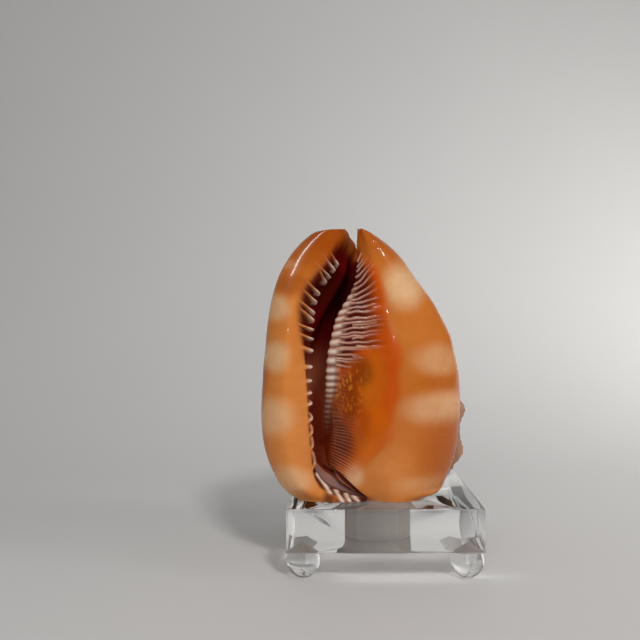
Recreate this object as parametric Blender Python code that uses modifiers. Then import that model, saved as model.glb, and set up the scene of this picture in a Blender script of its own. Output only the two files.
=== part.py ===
"""Red helmet shell standing on its spire in a clear display block with four ball feet.

The shell stands with its narrow, siphonal end up and its aperture towards -Y. Its low spire
sits in the round hole of the block, and the front rim of its underside rests on the block.
The shell is a loft: horizontal sections, each a closed C that runs from the toothed lip
round the back to the columella and returns along the wall of the cavity. The sections follow
lines that run the height of the shell, such as the edge of the lip or of the shield.

The shell's tables are in millimetres in the shell's own frame, whose origin is on the
block's top face at the axis of the hole. The model's origin is on the floor, under the
middle of the whole object.
"""
import math

import bmesh
import bpy
import numpy as np

MM = 0.001

# Display block and its feet, in millimetres
BLOCK_WIDTH = 74.0
BLOCK_DEPTH = 98.0
BLOCK_THICKNESS = 16.5
BLOCK_EDGE_ROUND = 0.4
HOLE_DIAMETER = 25.4
HOLE_BEHIND_FRONT = 42.0
HOLE_LEFT_OF_MIDDLE = 1.8
BALL_DIAMETER = 12.7
BALL_INSET = 6.0
BALL_FLAT_DIAMETER = 3.0
SOCKET_DIAMETER = 12.0
SOCKET_HALF_ANGLE = math.radians(59.0)
BALL_DROP = 4.2

# Height of the block's top face over the floor
BALL_FLAT_DROP = math.sqrt((BALL_DIAMETER / 2) ** 2 - (BALL_FLAT_DIAMETER / 2) ** 2)
BLOCK_TOP = BLOCK_THICKNESS + BALL_DROP + BALL_FLAT_DROP

# Place of the hole's axis in the model, which centres the whole object on the origin
HOLE_X = 3.66
HOLE_Y = -7.0

# Heights of the shell's lowest and highest sections over the block, and of its ring of shoulder
SECTION_BOTTOM = 1.0
SECTION_TOP = 107.0
RIM_RADIUS = 1.5
SHOULDER_LIFT = 9.0
CANAL_DROP = 6.0
SPIRE_TIP = -9.0
SPIRE_SLOPE = 0.74
SPIRE_RADIUS = 14.0
CONTACT_GAP = 0.3

# Lines up the front of the shell: (height, x)
LIP_EDGE = ((1, -32), (2, -34), (5, -37.7), (11, -41.4), (20, -44.9), (30, -46.2), (50, -45.6),
            (70, -43.9), (84, -41.3), (92, -38.5), (100, -32.8), (104, -29), (107, -24.5))
TOOTH_EDGE = ((1, -5.0), (2, -8.5), (3.5, -13.5), (5.4, -18.8), (8, -22), (11, -23.7), (20, -25.6),
              (32, -26.2), (45, -26.6), (60, -26), (70, -25.7), (76, -25), (81, -23.4), (87, -19.5),
              (92, -16.2), (98, -14.6), (107, -13.4))
ROPE_EDGE = ((1, -3.0), (2, -6.5), (3, -9.8), (5, -14), (10.3, -18.6), (17, -21.2), (26, -21.8),
             (43, -21.2), (58, -20.2), (65, -18.6), (71, -17.1), (76, -14.3), (81, -11.2),
             (86, -9.7), (92.7, -8.9), (98, -8.7), (107, -8.4))
CREST = ((1, 5), (10, 3), (20, 3), (30, 5), (38, 7), (47, 8), (55, 7.5), (64, 5.2), (72, 2.3),
         (82, -0.4), (92, -2.5), (100, -4.6), (107, -7.0))
SHIELD_EDGE = ((1, 17.2), (2, 21), (5, 23.9), (10, 27.3), (15, 29.6), (20, 31), (30, 32.3),
               (40, 32.6), (50, 31.7), (58, 30), (64, 28.6), (70.4, 25.6), (76.8, 22.3),
               (83, 17.9), (89.5, 13.2), (96, 9.2), (99.2, 6.2), (102.4, 2), (105.4, -2.6),
               (107, -5.8))

# Depths of the front: (height, y of the frontmost line) and (height, how far behind it)
FRONT = ((0, -31.5), (5, -33.3), (15, -35), (35, -35.5), (55, -34.5), (75, -31.5), (90, -28),
         (107, -23.5))
TOOTH_DEPTH = ((1, 3), (8, 6), (25, 7.5), (75, 7.5), (92, 6), (107, 4))
LIP_DEPTH = ((1, 9), (10, 13), (30, 16.5), (60, 16.5), (85, 14), (100, 11), (107, 8))
ROPE_DEPTH = ((1, 3), (8, 7), (20, 11), (60, 12), (80, 8.5), (95, 5), (107, 3.5))
SHIELD_DEPTH = ((1, 10), (10, 13), (25, 15), (60, 14.5), (85, 11), (100, 8.5), (107, 6))

# The body whorl behind the front: (height, middle x), half width, middle y and half depth
BODY_X = ((10, -2), (20, -3), (40, -3), (60, -4.5), (75, -5.5), (86, -5), (96, -3.8), (101, -3))
BODY_HALF_WIDTH = ((10, 33.6), (13, 36.4), (18, 38.0), (30, 38.8), (40, 37), (50, 33.8), (60, 29),
                   (70, 23.2), (80, 17), (88, 12.8), (96, 10.5), (101, 9.2))
BODY_Y = ((10, 0), (45, 0), (60, -1), (75, -3), (84, -5), (90, -4.5), (96, -2), (101, 1))
BODY_HALF_DEPTH = ((10, 28.6), (14, 30.8), (22, 32), (35, 31.6), (45, 30), (60, 26.5), (75, 20.5),
                   (86, 14), (91, 12.5), (96, 12.8), (101, 13.2))
BODY_ANGLES = (185, 160, 135, 110, 85, 60, 35, 10)
GROOVE_ANGLES = (204, -25)

# The cavity: wall thickness and the solid core that the whorl turns round
WALL = ((10, 5), (30, 4.2), (60, 3.8), (80, 3.4), (96, 3))
CORE_SIZE = ((10, 0.42), (40, 0.4), (60, 0.4), (75, 0.38), (88, 0.3), (96, 0.26))
CAVITY_TIP_ANGLE = ((10, 122), (30, 118), (60, 118), (80, 126), (96, 132))
CAVITY_LIFT = 6.0

# Knobs in rows round the body whorl: (height, how far they stand out, half height, turn)
KNOB_ROWS = ((16, 3.2, 5.0, 0.5), (33, 3.2, 5.0, 0.0), (47, 1.8, 4.5, 0.5), (59, 1.0, 4.0, 0.0))
KNOB_PITCH = math.radians(24.0)

# How many faces each stretch of the C gets, lip to columella and back round the cavity
OUTER_COUNTS = (2, 2, 2, 2, 2, 1, 1, 2, 3, 3, 3, 3, 3, 3, 3, 4, 1, 1, 3, 3, 2, 2, 1)
INNER_COUNTS = (3, 5, 6, 6, 6, 5, 5, 4, 4, 4, 2, 1, 1)
LEVELS = 32
UNDERSIDE_RINGS = 9


def curve_value(points, at):
    """Value at each height on the smooth curve through (height, value) points."""
    knots = np.array([p[0] for p in points], float)
    values = np.array([p[1] for p in points], float)
    slopes = np.gradient(values, knots)
    at = np.clip(at, knots[0], knots[-1])
    k = np.clip(np.searchsorted(knots, at, side="right") - 1, 0, len(knots) - 2)
    step = knots[k + 1] - knots[k]
    u = (at - knots[k]) / step
    return ((1 + 2 * u) * (1 - u) ** 2 * values[k] + u * (1 - u) ** 2 * step * slopes[k]
            + u ** 2 * (3 - 2 * u) * values[k + 1] - u ** 2 * (1 - u) * step * slopes[k + 1])


def ease(low, high, at):
    """0 below low, 1 above high, smooth in between."""
    u = np.clip((at - low) / (high - low), 0.0, 1.0)
    return u * u * (3 - 2 * u)


def closed_curve(points, counts):
    """Points along the smooth closed curve through the given ones, counts[k] for stretch k."""
    after = np.roll(points, -1, axis=0) - points
    length = np.linalg.norm(after, axis=1, keepdims=True)
    direction = after / length
    length_before = np.roll(length, 1, axis=0)
    slope = np.roll(direction, 1, axis=0) * length + direction * length_before
    slope /= length + length_before
    run = []
    for k, count in enumerate(counts):
        following = (k + 1) % len(points)
        u = (np.arange(count) / count)[:, None]
        run.append((1 + 2 * u) * (1 - u) ** 2 * points[k] + u * (1 - u) ** 2 * length[k] * slope[k]
                   + u ** 2 * (3 - 2 * u) * points[following]
                   - u ** 2 * (1 - u) * length[k] * slope[following])
    return np.concatenate(run)


def body_height(level):
    """Height of the body whorl's ring that belongs to the front's level."""
    return (level + SHOULDER_LIFT * (1 - ease(SECTION_BOTTOM, 46, level))
            - CANAL_DROP * ease(60, SECTION_TOP, level))


def on_body(angle, height, inset=0.0, share=1.0):
    """Point on the body whorl's ellipse at an angle, or inside it by an inset or a share."""
    turn = math.radians(angle)
    half_width = curve_value(BODY_HALF_WIDTH, height) - inset
    half_depth = curve_value(BODY_HALF_DEPTH, height) - inset
    return (curve_value(BODY_X, height) + share * half_width * math.cos(turn),
            curve_value(BODY_Y, height) + share * half_depth * math.sin(turn), height)


def section(level):
    """Leading points of the C at one level: the outside, then the cavity."""
    front = curve_value(FRONT, level)
    lip, tooth = curve_value(LIP_EDGE, level), curve_value(TOOTH_EDGE, level)
    rope, crest = curve_value(ROPE_EDGE, level), curve_value(CREST, level)
    shield = curve_value(SHIELD_EDGE, level)
    tooth_y = front + curve_value(TOOTH_DEPTH, level)
    lip_depth = curve_value(LIP_DEPTH, level)
    rope_y = front + curve_value(ROPE_DEPTH, level)
    rope_depth = rope_y - front
    shield_depth = curve_value(SHIELD_DEPTH, level)
    body = body_height(level)
    lip_width = tooth - lip
    face_width = shield - crest
    groove_left = np.array(on_body(GROOVE_ANGLES[0], body))
    groove_right = np.array(on_body(GROOVE_ANGLES[1], body))
    groove_left[2] = 0.3 * level + 0.7 * body
    groove_right[2] = 0.3 * level + 0.7 * body
    lip_back = np.array((lip + 0.13 * lip_width, front + lip_depth, level))
    shield_back = np.array((shield - 0.05 * face_width, front + shield_depth + 2.2, level))

    outside = [
        (tooth, tooth_y, level),
        (tooth - 0.2 * lip_width, front + 0.38 * (tooth_y - front), level),
        (tooth - 0.5 * lip_width, front, level),
        (lip + 0.17 * lip_width, front + 0.24 * lip_depth, level),
        (lip, front + 0.62 * lip_depth, level),
        lip_back,
        0.5 * lip_back + 0.5 * groove_left + np.array((0, 0.6, 0)),
        groove_left]
    outside += [on_body(angle, body) for angle in BODY_ANGLES]
    outside += [
        groove_right,
        0.3 * shield_back + 0.7 * groove_right + np.array((0.4, 0, 0)),
        (shield, front + shield_depth, level),
        (crest + 0.62 * face_width, front + 0.24 * shield_depth, level),
        (crest, front, level),
        (0.5 * (crest + rope), front + 0.42 * rope_depth, level),
        (rope + 0.12 * (crest - rope), front + 0.83 * rope_depth, level),
        (rope, rope_y, level)]

    inner = body + CAVITY_LIFT * (1 - ease(SECTION_BOTTOM, 46, level))
    near = level + 0.45 * (inner - level)
    edge = level + 0.2 * (inner - level)
    wall = curve_value(WALL, inner)
    core = curve_value(CORE_SIZE, inner)
    tip = curve_value(CAVITY_TIP_ANGLE, inner)
    behind_rope = (rope + 2.2, rope_y + 4.5, edge)
    wall_front = np.array(on_body(GROOVE_ANGLES[0] - 4, inner, wall))
    cavity = [
        behind_rope,
        0.5 * np.array(behind_rope) + 0.5 * np.array(on_body(205, near, 0, core)),
        on_body(165, inner, 0, core),
        on_body(0.5 * (165 + tip), inner, 0, core),
        on_body(tip, inner, wall, 0.86),
        on_body(tip + 0.15 * (180 - tip), inner, wall),
        on_body(tip + 0.4 * (180 - tip), inner, wall),
        on_body(tip + 0.65 * (180 - tip), inner, wall),
        on_body(tip + 0.88 * (180 - tip), inner, wall),
        wall_front,
        0.62 * np.array((tooth - 1.5, tooth_y + 6, edge)) + 0.38 * wall_front,
        (tooth - 0.8, tooth_y + 3.4, edge)]
    return np.array(outside, float), np.array(cavity, float)


def knob_height(ring):
    """How far each point of a ring stands out for the knobs of the body whorl."""
    turn = np.arctan2(ring[:, 1] - curve_value(BODY_Y, ring[:, 2]),
                      ring[:, 0] - curve_value(BODY_X, ring[:, 2]))
    raised = np.zeros(len(ring))
    for height, amount, half_height, turned in KNOB_ROWS:
        wave = 0.5 + 0.5 * np.cos(2 * math.pi * (turn / KNOB_PITCH + turned))
        raised += amount * wave ** 1.5 * np.exp(-((ring[:, 2] - height) / half_height) ** 2)
    away = np.degrees(np.abs(turn - math.radians(90)))
    return raised * (1 - ease(96, 112, away))


def shell_rings():
    """One closed ring of points for each level, bottom to top, and the number on the outside."""
    counts = OUTER_COUNTS + INNER_COUNTS
    outer = sum(OUTER_COUNTS)
    spread = np.arange(LEVELS) / (LEVELS - 1)
    spread = 0.45 * spread + 0.55 * (0.5 - 0.5 * np.cos(math.pi * spread))
    levels = SECTION_BOTTOM + (SECTION_TOP - RIM_RADIUS - SECTION_BOTTOM) * spread
    rings = []
    body_first = sum(OUTER_COUNTS[:7])
    body_last = sum(OUTER_COUNTS[:16])
    for level in levels:
        outside, cavity = section(level)
        ring = closed_curve(np.concatenate((outside, cavity)), counts)
        body = ring[body_first:body_last + 1]
        middle = np.stack((curve_value(BODY_X, body[:, 2]), curve_value(BODY_Y, body[:, 2])), 1)
        away = body[:, :2] - middle
        away /= np.linalg.norm(away, axis=1, keepdims=True)
        body[:, :2] += away * knob_height(body)[:, None]
        rings.append(ring)
    return rings, outer


def rounded_rim(rings):
    """Two more rings that round the top rim over towards its middle line."""
    last, before = rings[-1], rings[-2]
    across = np.roll(last[::-1], 1, axis=0) - last
    width = np.linalg.norm(across, axis=1, keepdims=True)
    across = across / np.maximum(width, 1e-6)
    along = last - before
    along /= np.linalg.norm(along, axis=1, keepdims=True)
    inwards = np.minimum(RIM_RADIUS, 0.42 * width)
    rim = []
    for turn in (math.radians(45), math.radians(80)):
        rim.append(last + across * inwards * (1 - math.cos(turn)) + along * RIM_RADIUS * math.sin(turn))
    return rim


def underside_ring(first, reach):
    """Ring of the underside at a share of the way from its first ring to the spire's tip."""
    radius_first = np.linalg.norm(first[:, :2], axis=1)
    radius = radius_first * (1 - reach)
    spire = SPIRE_TIP + SPIRE_SLOPE * radius
    start = SPIRE_TIP + SPIRE_SLOPE * SPIRE_RADIUS
    out = np.clip((radius - SPIRE_RADIUS) / (radius_first - SPIRE_RADIUS), 0, 1)
    back = (first[:, 2] - SECTION_BOTTOM) / SHOULDER_LIFT
    front_shape = curve_value(((0, start), (0.3, 2.9), (0.6, 2.4), (0.85, CONTACT_GAP),
                               (1, SECTION_BOTTOM)), out)
    back_shape = start + (SECTION_BOTTOM + SHOULDER_LIFT - start) * out ** 0.9
    outward = (1 - back) * front_shape + back * back_shape
    height = np.where(radius < SPIRE_RADIUS, spire, outward)
    return np.column_stack((first[:, 0] * (1 - reach), first[:, 1] * (1 - reach), height))


def build_shell(material):
    """The shell as one closed body."""
    rings, outer = shell_rings()
    rings += rounded_rim(rings)
    size = len(rings[0])
    bm = bmesh.new()
    loops = [[bm.verts.new(to_model(point)) for point in ring] for ring in rings]
    for low, high in zip(loops, loops[1:]):
        for i in range(size):
            j = (i + 1) % size
            bm.faces.new((low[i], low[j], high[j], high[i]))

    # The top rim closes across, from the outside to the cavity
    top = loops[-1]
    bm.faces.new((top[0], top[1], top[size - 1]))
    for i in range(1, outer - 1):
        bm.faces.new((top[i], top[i + 1], top[size - i - 1], top[size - i]))
    bm.faces.new((top[outer - 1], top[outer], top[outer + 1]))

    # The cavity's floor closes across, from the core to the outer wall
    bottom = loops[0]
    half = (size - outer) // 2
    floor = [bottom[(outer + i) % size] for i in range(size - outer + 1)]
    for i in range(half - 1):
        bm.faces.new((floor[i + 1], floor[i], floor[-1 - i], floor[-2 - i]))
    bm.faces.new((floor[half - 1], floor[half + 1], floor[half]))

    # The underside runs in to the tip of the spire
    first = rings[0][:outer + 1]
    ring = bottom[:outer + 1]
    for step in range(1, UNDERSIDE_RINGS):
        reach = (step / UNDERSIDE_RINGS) ** 1.15
        inner_ring = [bm.verts.new(to_model(p)) for p in underside_ring(first, reach)]
        for i in range(outer + 1):
            j = (i + 1) % (outer + 1)
            bm.faces.new((ring[j], ring[i], inner_ring[i], inner_ring[j]))
        ring = inner_ring
    tip = bm.verts.new(to_model((0, 0, SPIRE_TIP)))
    for i in range(outer + 1):
        bm.faces.new((ring[(i + 1) % (outer + 1)], ring[i], tip))

    bmesh.ops.recalc_face_normals(bm, faces=bm.faces)
    mesh = bpy.data.meshes.new("shell")
    bm.to_mesh(mesh)
    bm.free()
    mesh.shade_smooth()
    mesh.set_sharp_from_angle(angle=math.radians(50))
    return add_object("shell", mesh, material)


def to_model(point):
    """A point of the shell's frame, in millimetres, as a point of the model, in metres."""
    return ((point[0] + HOLE_X) * MM, (point[1] + HOLE_Y) * MM, (point[2] + BLOCK_TOP) * MM)


def add_object(name, mesh, material, collection="red_helmet_shell"):
    """Put a mesh in the scene under a name, in a collection."""
    thing = bpy.data.objects.new(name, mesh)
    if material:
        mesh.materials.append(material)
    bpy.data.collections[collection].objects.link(thing)
    return thing


def solid_material(name, color, roughness, transmission=0.0, ior=1.5):
    """A plain material with the part's colour and gloss."""
    material = bpy.data.materials.new(name)
    material.use_nodes = True
    shader = material.node_tree.nodes["Principled BSDF"]
    shader.inputs["Base Color"].default_value = (*color, 1.0)
    shader.inputs["Roughness"].default_value = roughness
    shader.inputs["Metallic"].default_value = 0.0
    shader.inputs["Transmission Weight"].default_value = transmission
    shader.inputs["IOR"].default_value = ior
    material.diffuse_color = (*color, 1.0)
    return material


def cutter(name, radius_low, radius_high, height, center, segments):
    """A round cutter that is kept out of the model."""
    bm = bmesh.new()
    bmesh.ops.create_cone(bm, cap_ends=True, segments=segments, radius1=radius_low * MM,
                          radius2=radius_high * MM, depth=height * MM)
    mesh = bpy.data.meshes.new(name)
    bm.to_mesh(mesh)
    bm.free()
    thing = add_object(name, mesh, None, "cutters")
    thing.location = to_model(center)
    thing.hide_render = True
    thing.display_type = "WIRE"
    return thing


def foot_places():
    """Name and place of each ball foot, in the shell's frame."""
    middle_x = HOLE_LEFT_OF_MIDDLE
    front = -HOLE_BEHIND_FRONT + BALL_INSET
    rear = -HOLE_BEHIND_FRONT + BLOCK_DEPTH - BALL_INSET
    reach = BLOCK_WIDTH / 2 - BALL_INSET
    for depth_name, y in (("front", front), ("rear", rear)):
        for side_name, x in (("left", middle_x - reach), ("right", middle_x + reach)):
            yield "foot_{}_{}".format(depth_name, side_name), x, y


def build_block(material):
    """The clear block with its round hole and a conical socket over each foot."""
    bm = bmesh.new()
    bmesh.ops.create_cube(bm, size=1.0)
    bmesh.ops.scale(bm, vec=(BLOCK_WIDTH * MM, BLOCK_DEPTH * MM, BLOCK_THICKNESS * MM), verts=bm.verts)
    mesh = bpy.data.meshes.new("block")
    bm.to_mesh(mesh)
    bm.free()
    block = add_object("block", mesh, material)
    block.location = to_model((HOLE_LEFT_OF_MIDDLE, BLOCK_DEPTH / 2 - HOLE_BEHIND_FRONT,
                               -BLOCK_THICKNESS / 2))
    edges = block.modifiers.new("edges", "BEVEL")
    edges.width = BLOCK_EDGE_ROUND * MM
    edges.segments = 2
    edges.limit_method = "ANGLE"
    hole = cutter("hole", HOLE_DIAMETER / 2, HOLE_DIAMETER / 2, BLOCK_THICKNESS + 4,
                  (0, 0, -BLOCK_THICKNESS / 2), 48)
    cutters = [hole]
    depth = SOCKET_DIAMETER / 2 / math.tan(SOCKET_HALF_ANGLE)
    below = 2.0
    wide = (depth + below) * math.tan(SOCKET_HALF_ANGLE)
    for name, x, y in foot_places():
        middle = -BLOCK_THICKNESS + (depth - below) / 2
        cutters.append(cutter(name.replace("foot", "socket"), wide, 0.0, depth + below, (x, y, middle), 24))
    for tool in cutters:
        cut = block.modifiers.new(tool.name, "BOOLEAN")
        cut.object = tool
        cut.operation = "DIFFERENCE"
        cut.solver = "EXACT"
    return block


def build_foot(name, x, y, material):
    """A ball with a small flat under it to stand on."""
    bm = bmesh.new()
    bmesh.ops.create_uvsphere(bm, u_segments=16, v_segments=9, radius=BALL_DIAMETER / 2 * MM)
    everything = bm.verts[:] + bm.edges[:] + bm.faces[:]
    bmesh.ops.bisect_plane(bm, geom=everything, plane_co=(0, 0, -BALL_FLAT_DROP * MM),
                           plane_no=(0, 0, -1), clear_outer=True)
    rim = [edge for edge in bm.edges if edge.is_boundary]
    bmesh.ops.holes_fill(bm, edges=rim, sides=0)
    mesh = bpy.data.meshes.new(name)
    bm.to_mesh(mesh)
    bm.free()
    mesh.shade_smooth()
    mesh.set_sharp_from_angle(angle=math.radians(40))
    foot = add_object(name, mesh, material)
    foot.location = to_model((x, y, -BLOCK_THICKNESS - BALL_DROP))
    return foot


def main():
    for thing in list(bpy.data.objects):
        bpy.data.objects.remove(thing, do_unlink=True)
    for name in ("red_helmet_shell", "cutters"):
        bpy.context.scene.collection.children.link(bpy.data.collections.new(name))
    shell_color = solid_material("shell", (0.58, 0.16, 0.06), 0.18)
    clear = solid_material("clear_acrylic", (0.95, 0.97, 0.97), 0.03, 1.0, 1.49)
    build_shell(shell_color)
    build_block(clear)
    for name, x, y in foot_places():
        build_foot(name, x, y, clear)


main()
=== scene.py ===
"""Red helmet shell standing on its spire in a clear display block: its finished look.

The shell is a loft of horizontal sections, as in the solid model, made fine enough for the
teeth of the lip, the beads and ridges of the columella and the sculpture of the back. Its
tables are in millimetres in the shell's own frame, whose origin is on the block's top face at
the axis of the hole. The block and its ball feet are rebuilt at the places of their solids.
"""
import math

import bmesh
import bpy
import numpy as np
from bpy.props import FloatProperty, FloatVectorProperty, IntProperty, PointerProperty
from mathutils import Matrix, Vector


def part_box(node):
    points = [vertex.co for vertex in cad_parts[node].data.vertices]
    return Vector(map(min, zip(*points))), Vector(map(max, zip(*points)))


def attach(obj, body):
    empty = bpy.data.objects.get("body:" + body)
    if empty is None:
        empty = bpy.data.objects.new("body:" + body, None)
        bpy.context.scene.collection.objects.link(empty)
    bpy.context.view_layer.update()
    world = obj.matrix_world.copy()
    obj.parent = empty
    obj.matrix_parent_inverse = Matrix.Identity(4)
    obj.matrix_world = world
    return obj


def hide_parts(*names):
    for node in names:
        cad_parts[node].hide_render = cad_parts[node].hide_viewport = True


bl_info = {
    "name": "Red Helmet Shell",
    "version": (1, 0, 0),
    "blender": (4, 5, 0),
    "location": "View3D > Sidebar > Helmet Shell",
    "description": "A red helmet shell standing on its spire in a clear display block",
    "category": "Add Mesh",
}

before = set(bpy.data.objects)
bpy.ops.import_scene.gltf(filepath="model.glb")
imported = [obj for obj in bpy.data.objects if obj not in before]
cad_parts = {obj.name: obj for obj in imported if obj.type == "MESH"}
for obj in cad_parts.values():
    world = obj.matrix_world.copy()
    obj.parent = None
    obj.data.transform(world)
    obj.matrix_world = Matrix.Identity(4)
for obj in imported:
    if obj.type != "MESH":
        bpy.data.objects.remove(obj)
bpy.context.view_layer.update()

MM = 0.001
FEET = ("foot_front_left", "foot_front_right", "foot_rear_left", "foot_rear_right")

# The hole's axis, from the block's solid, and the sizes that the solid has
BLOCK_LOW, BLOCK_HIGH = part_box("block")
HOLE_BEHIND_FRONT = 42.0 * MM
HOLE_LEFT_OF_MIDDLE = 1.8 * MM
HOLE_X = (BLOCK_LOW[0] + BLOCK_HIGH[0]) / 2 - HOLE_LEFT_OF_MIDDLE
HOLE_Y = BLOCK_LOW[1] + HOLE_BEHIND_FRONT
BLOCK_TOP = BLOCK_HIGH[2]

# Heights of the shell's lowest and highest sections over the block, and roundness of its top rim
SECTION_BOTTOM = 0.5
SECTION_TOP = 107.0
RIM_RADIUS = 1.5
RIM_TURNS = (15, 32, 50, 68, 84)

# The back of each section is lifted up to SHOULDER_END, and lowered from CANAL_START
SHOULDER_LIFT = 9.0
SHOULDER_END = 46
CANAL_DROP = 6.0
CANAL_START = 60

# The spire's cone, and the foot of the shield just over the block
SPIRE_TIP = -9.0
SPIRE_SLOPE = 0.74
SPIRE_RADIUS = 14.0
CONTACT_GAP = 0.3
UNDERSIDE_RINGS = 24

# Lines up the front of the shell: (height, x)
LIP_EDGE = ((1, -32), (2, -34), (5, -37.7), (11, -41.4), (20, -44.9), (30, -46.2), (50, -45.6),
            (70, -43.9), (77, -42.9), (83, -41.5), (88.6, -39.6), (94, -36.9), (99, -33.4),
            (103, -29.4), (105.6, -25.7), (107, -22.6))
TOOTH_EDGE = ((1, -5.0), (2, -8.5), (3.5, -13.5), (5.4, -18.8), (8, -22), (11, -23.7), (20, -25.6),
              (32, -26.2), (45, -26.6), (60, -26), (70, -25.7), (76, -25), (81, -23.4), (87, -19.5),
              (92, -16.2), (98, -14.6), (107, -13.4))
ROPE_EDGE = ((1, -3.0), (2, -6.5), (3, -9.8), (5, -14), (10.3, -18.6), (17, -21.2), (26, -21.8),
             (43, -20.6), (58, -19.5), (65, -17.9), (71, -16.3), (76, -13.6), (81, -10.8),
             (86, -9.5), (92.7, -8.8), (98, -8.7), (107, -8.4))
CREST = ((1, 5), (10, 3), (20, 3), (30, 5), (38, 7), (47, 8), (55, 7.5), (64, 5.2), (72, 2.3),
         (82, -0.4), (92, -2.5), (100, -4.6), (107, -7.0))
SHIELD_EDGE = ((1, 17.2), (2, 21), (5, 23.9), (10, 27.3), (15, 29.6), (20, 31), (30, 32.3),
               (40, 32.6), (50, 31.7), (58, 30), (64, 28.6), (70.4, 25.6), (76.8, 22.3),
               (83, 17.9), (89.5, 13.3), (95.5, 9.1), (99.2, 5.8), (102.4, 2), (105.4, -2.6),
               (107, -5.8))

# Depths of the front: (height, y of the frontmost line) and (height, how far behind it)
FRONT = ((0, -33.6), (5, -34.2), (15, -35), (35, -35.5), (55, -34.5), (75, -31.5), (90, -28),
         (107, -23.5))
TOOTH_DEPTH = ((1, 3), (8, 6), (25, 7.5), (75, 7.5), (92, 6), (107, 4))
LIP_DEPTH = ((1, 9), (10, 13), (30, 16.5), (60, 16.5), (85, 14), (100, 11), (107, 8))
ROPE_DEPTH = ((1, 3), (8, 7), (20, 11), (60, 12), (80, 8.5), (95, 5), (107, 3.5))
SHIELD_DEPTH = ((1, 7), (10, 12), (25, 15), (60, 14.5), (85, 11), (100, 8.5), (107, 6))

# The body whorl behind the front: (height, middle x), half width, middle y and half depth
BODY_X = ((10, -2), (20, -3), (40, -3), (60, -4.5), (75, -5.5), (86, -5), (96, -3.8), (101, -3))
BODY_HALF_WIDTH = ((10, 33.6), (13, 36.4), (18, 38.0), (30, 38.8), (40, 37), (50, 33.8), (60, 29),
                   (70, 23.2), (80, 17), (88, 12.8), (96, 10.5), (101, 9.2))
BODY_Y = ((10, 0), (45, 0), (60, -1), (75, -3), (84, -5), (90, -4.5), (96, -2), (101, 1))
BODY_HALF_DEPTH = ((10, 28.6), (14, 30.8), (22, 32), (35, 31.6), (45, 30), (60, 26.5), (75, 20.5),
                   (86, 14), (91, 12.5), (96, 12.8), (101, 13.2))
BODY_ANGLES = (185, 160, 135, 110, 85, 60, 35, 10)
GROOVE_ANGLES = (204, -25)

# The cavity, by height: wall thickness, the core that the whorl turns round, as a share of the
# body, and the angle of the cavity's inner end
WALL = ((10, 5), (30, 4.2), (60, 3.8), (80, 3.4), (96, 3))
CORE_SIZE = ((10, 0.42), (40, 0.4), (60, 0.4), (75, 0.38), (88, 0.3), (96, 0.26))
CAVITY_TIP_ANGLE = ((10, 122), (30, 118), (60, 118), (80, 126), (96, 132))
CORE_ANGLE = 165
CAVITY_LIFT = 6.0
LOBE_LEAN = 2.2

# Places along a section, counted by its leading points
AT_LIP_EDGE = 4
AT_BODY = 7
AT_BODY_END = 16
AT_SHIELD_BACK = 17
AT_ROPE_EDGE = 23
AT_CAVITY_WALL = 34
AT_END = 36

# Faces in each stretch of the fine section, and the pairs of points that face each other
OUTSIDE_FACES = (14, 14, 10, 10, 8, 8, 5, 6, 9, 9, 9, 9, 9, 9, 9, 7, 6, 4, 9, 12, 26, 22, 8)
INSIDE_FACES = (6, 4, 4, 4, 3, 3, 3, 3, 3, 3, 3, 4, 6)
OUTSIDE_PAIRS = (2, 2, 2, 2, 2, 1, 1, 2, 3, 3, 3, 3, 3, 3, 3, 4, 1, 1, 3, 3, 2, 2, 1)
INSIDE_PAIRS = (3, 5, 6, 6, 6, 5, 5, 4, 4, 4, 2, 1, 1)

# Knobs in rows round the body whorl: (height, how far they stand out, half height, turn)
KNOB_ROWS = ((16, 3.2, 5.0, 0.5), (33, 3.2, 5.0, 0.0), (47, 1.8, 4.5, 0.5), (59, 1.0, 4.0, 0.0))
KNOB_PITCH = math.radians(24.0)

# Teeth of the lip, from the top: height of the tip, x and height of the base, half width; and
# the notches between them, by height: how far they reach over the lip, and how deep they are
TEETH = ((92.4, -19.3, 97.5, 0.44), (90.1, -23.2, 97.4, 0.572), (87.4, -26.3, 94.1, 0.44),
         (85.3, -23.2, 89.9, 0.484), (80.9, -28.5, 85.6, 0.634), (77.5, -29.7, 82.3, 0.616),
         (73.3, -30.8, 78.0, 0.572), (70.4, -30.6, 75.0, 0.572), (66.6, -31.3, 68.8, 0.66),
         (62.9, -31.3, 65.3, 0.616), (58.3, -30.7, 60.2, 1.056), (51.9, -30.7, 52.2, 1.1),
         (46.5, -29.9, 46.4, 1.012), (41.8, -29.9, 41.3, 0.88), (37.7, -29.7, 36.8, 0.88),
         (31.8, -28.8, 30.2, 0.88), (26.6, -28.0, 24.4, 0.704), (21.5, -27.3, 19.0, 0.616),
         (14.8, -26.1, 12.4, 0.528))
NOTCH_REACH = ((1, 11), (3, 8), (5, 5), (7, 3.5), (10, 2.6), (14, 1.6), (30, 1.5), (45, 1.9),
               (52, 2.8), (60, 4.8), (70, 7.2), (80, 8.5), (90, 8), (97, 5.5), (104, 3))
NOTCH_DEPTH = ((1, 0.4), (8, 0.6), (14, 1.3), (30, 1.5), (45, 1.8), (60, 2.5), (70, 2.7),
               (88, 2.3), (96, 1.4), (103, 0.3))

# Short bars of the lower canal: x and height of their two ends; and the dark between them, as
# patches
CANAL_BARS = ((-23.8, 10.8, -19.0, 4.0), (-17.3, 5.4, -14.2, 0.7), (-13.1, 3.6, -11.5, 0.7),
              (-10.8, 3.4, -8.2, 0.9))
BAR_HALF_WIDTH = 0.5
BAR_HEIGHT = 0.4
CANAL_DARK = ((-19.5, 2.2, 2.6, 3.2, 0.8), (-14.0, 1.4, 5.0, 2.2, 0.75))

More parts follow.
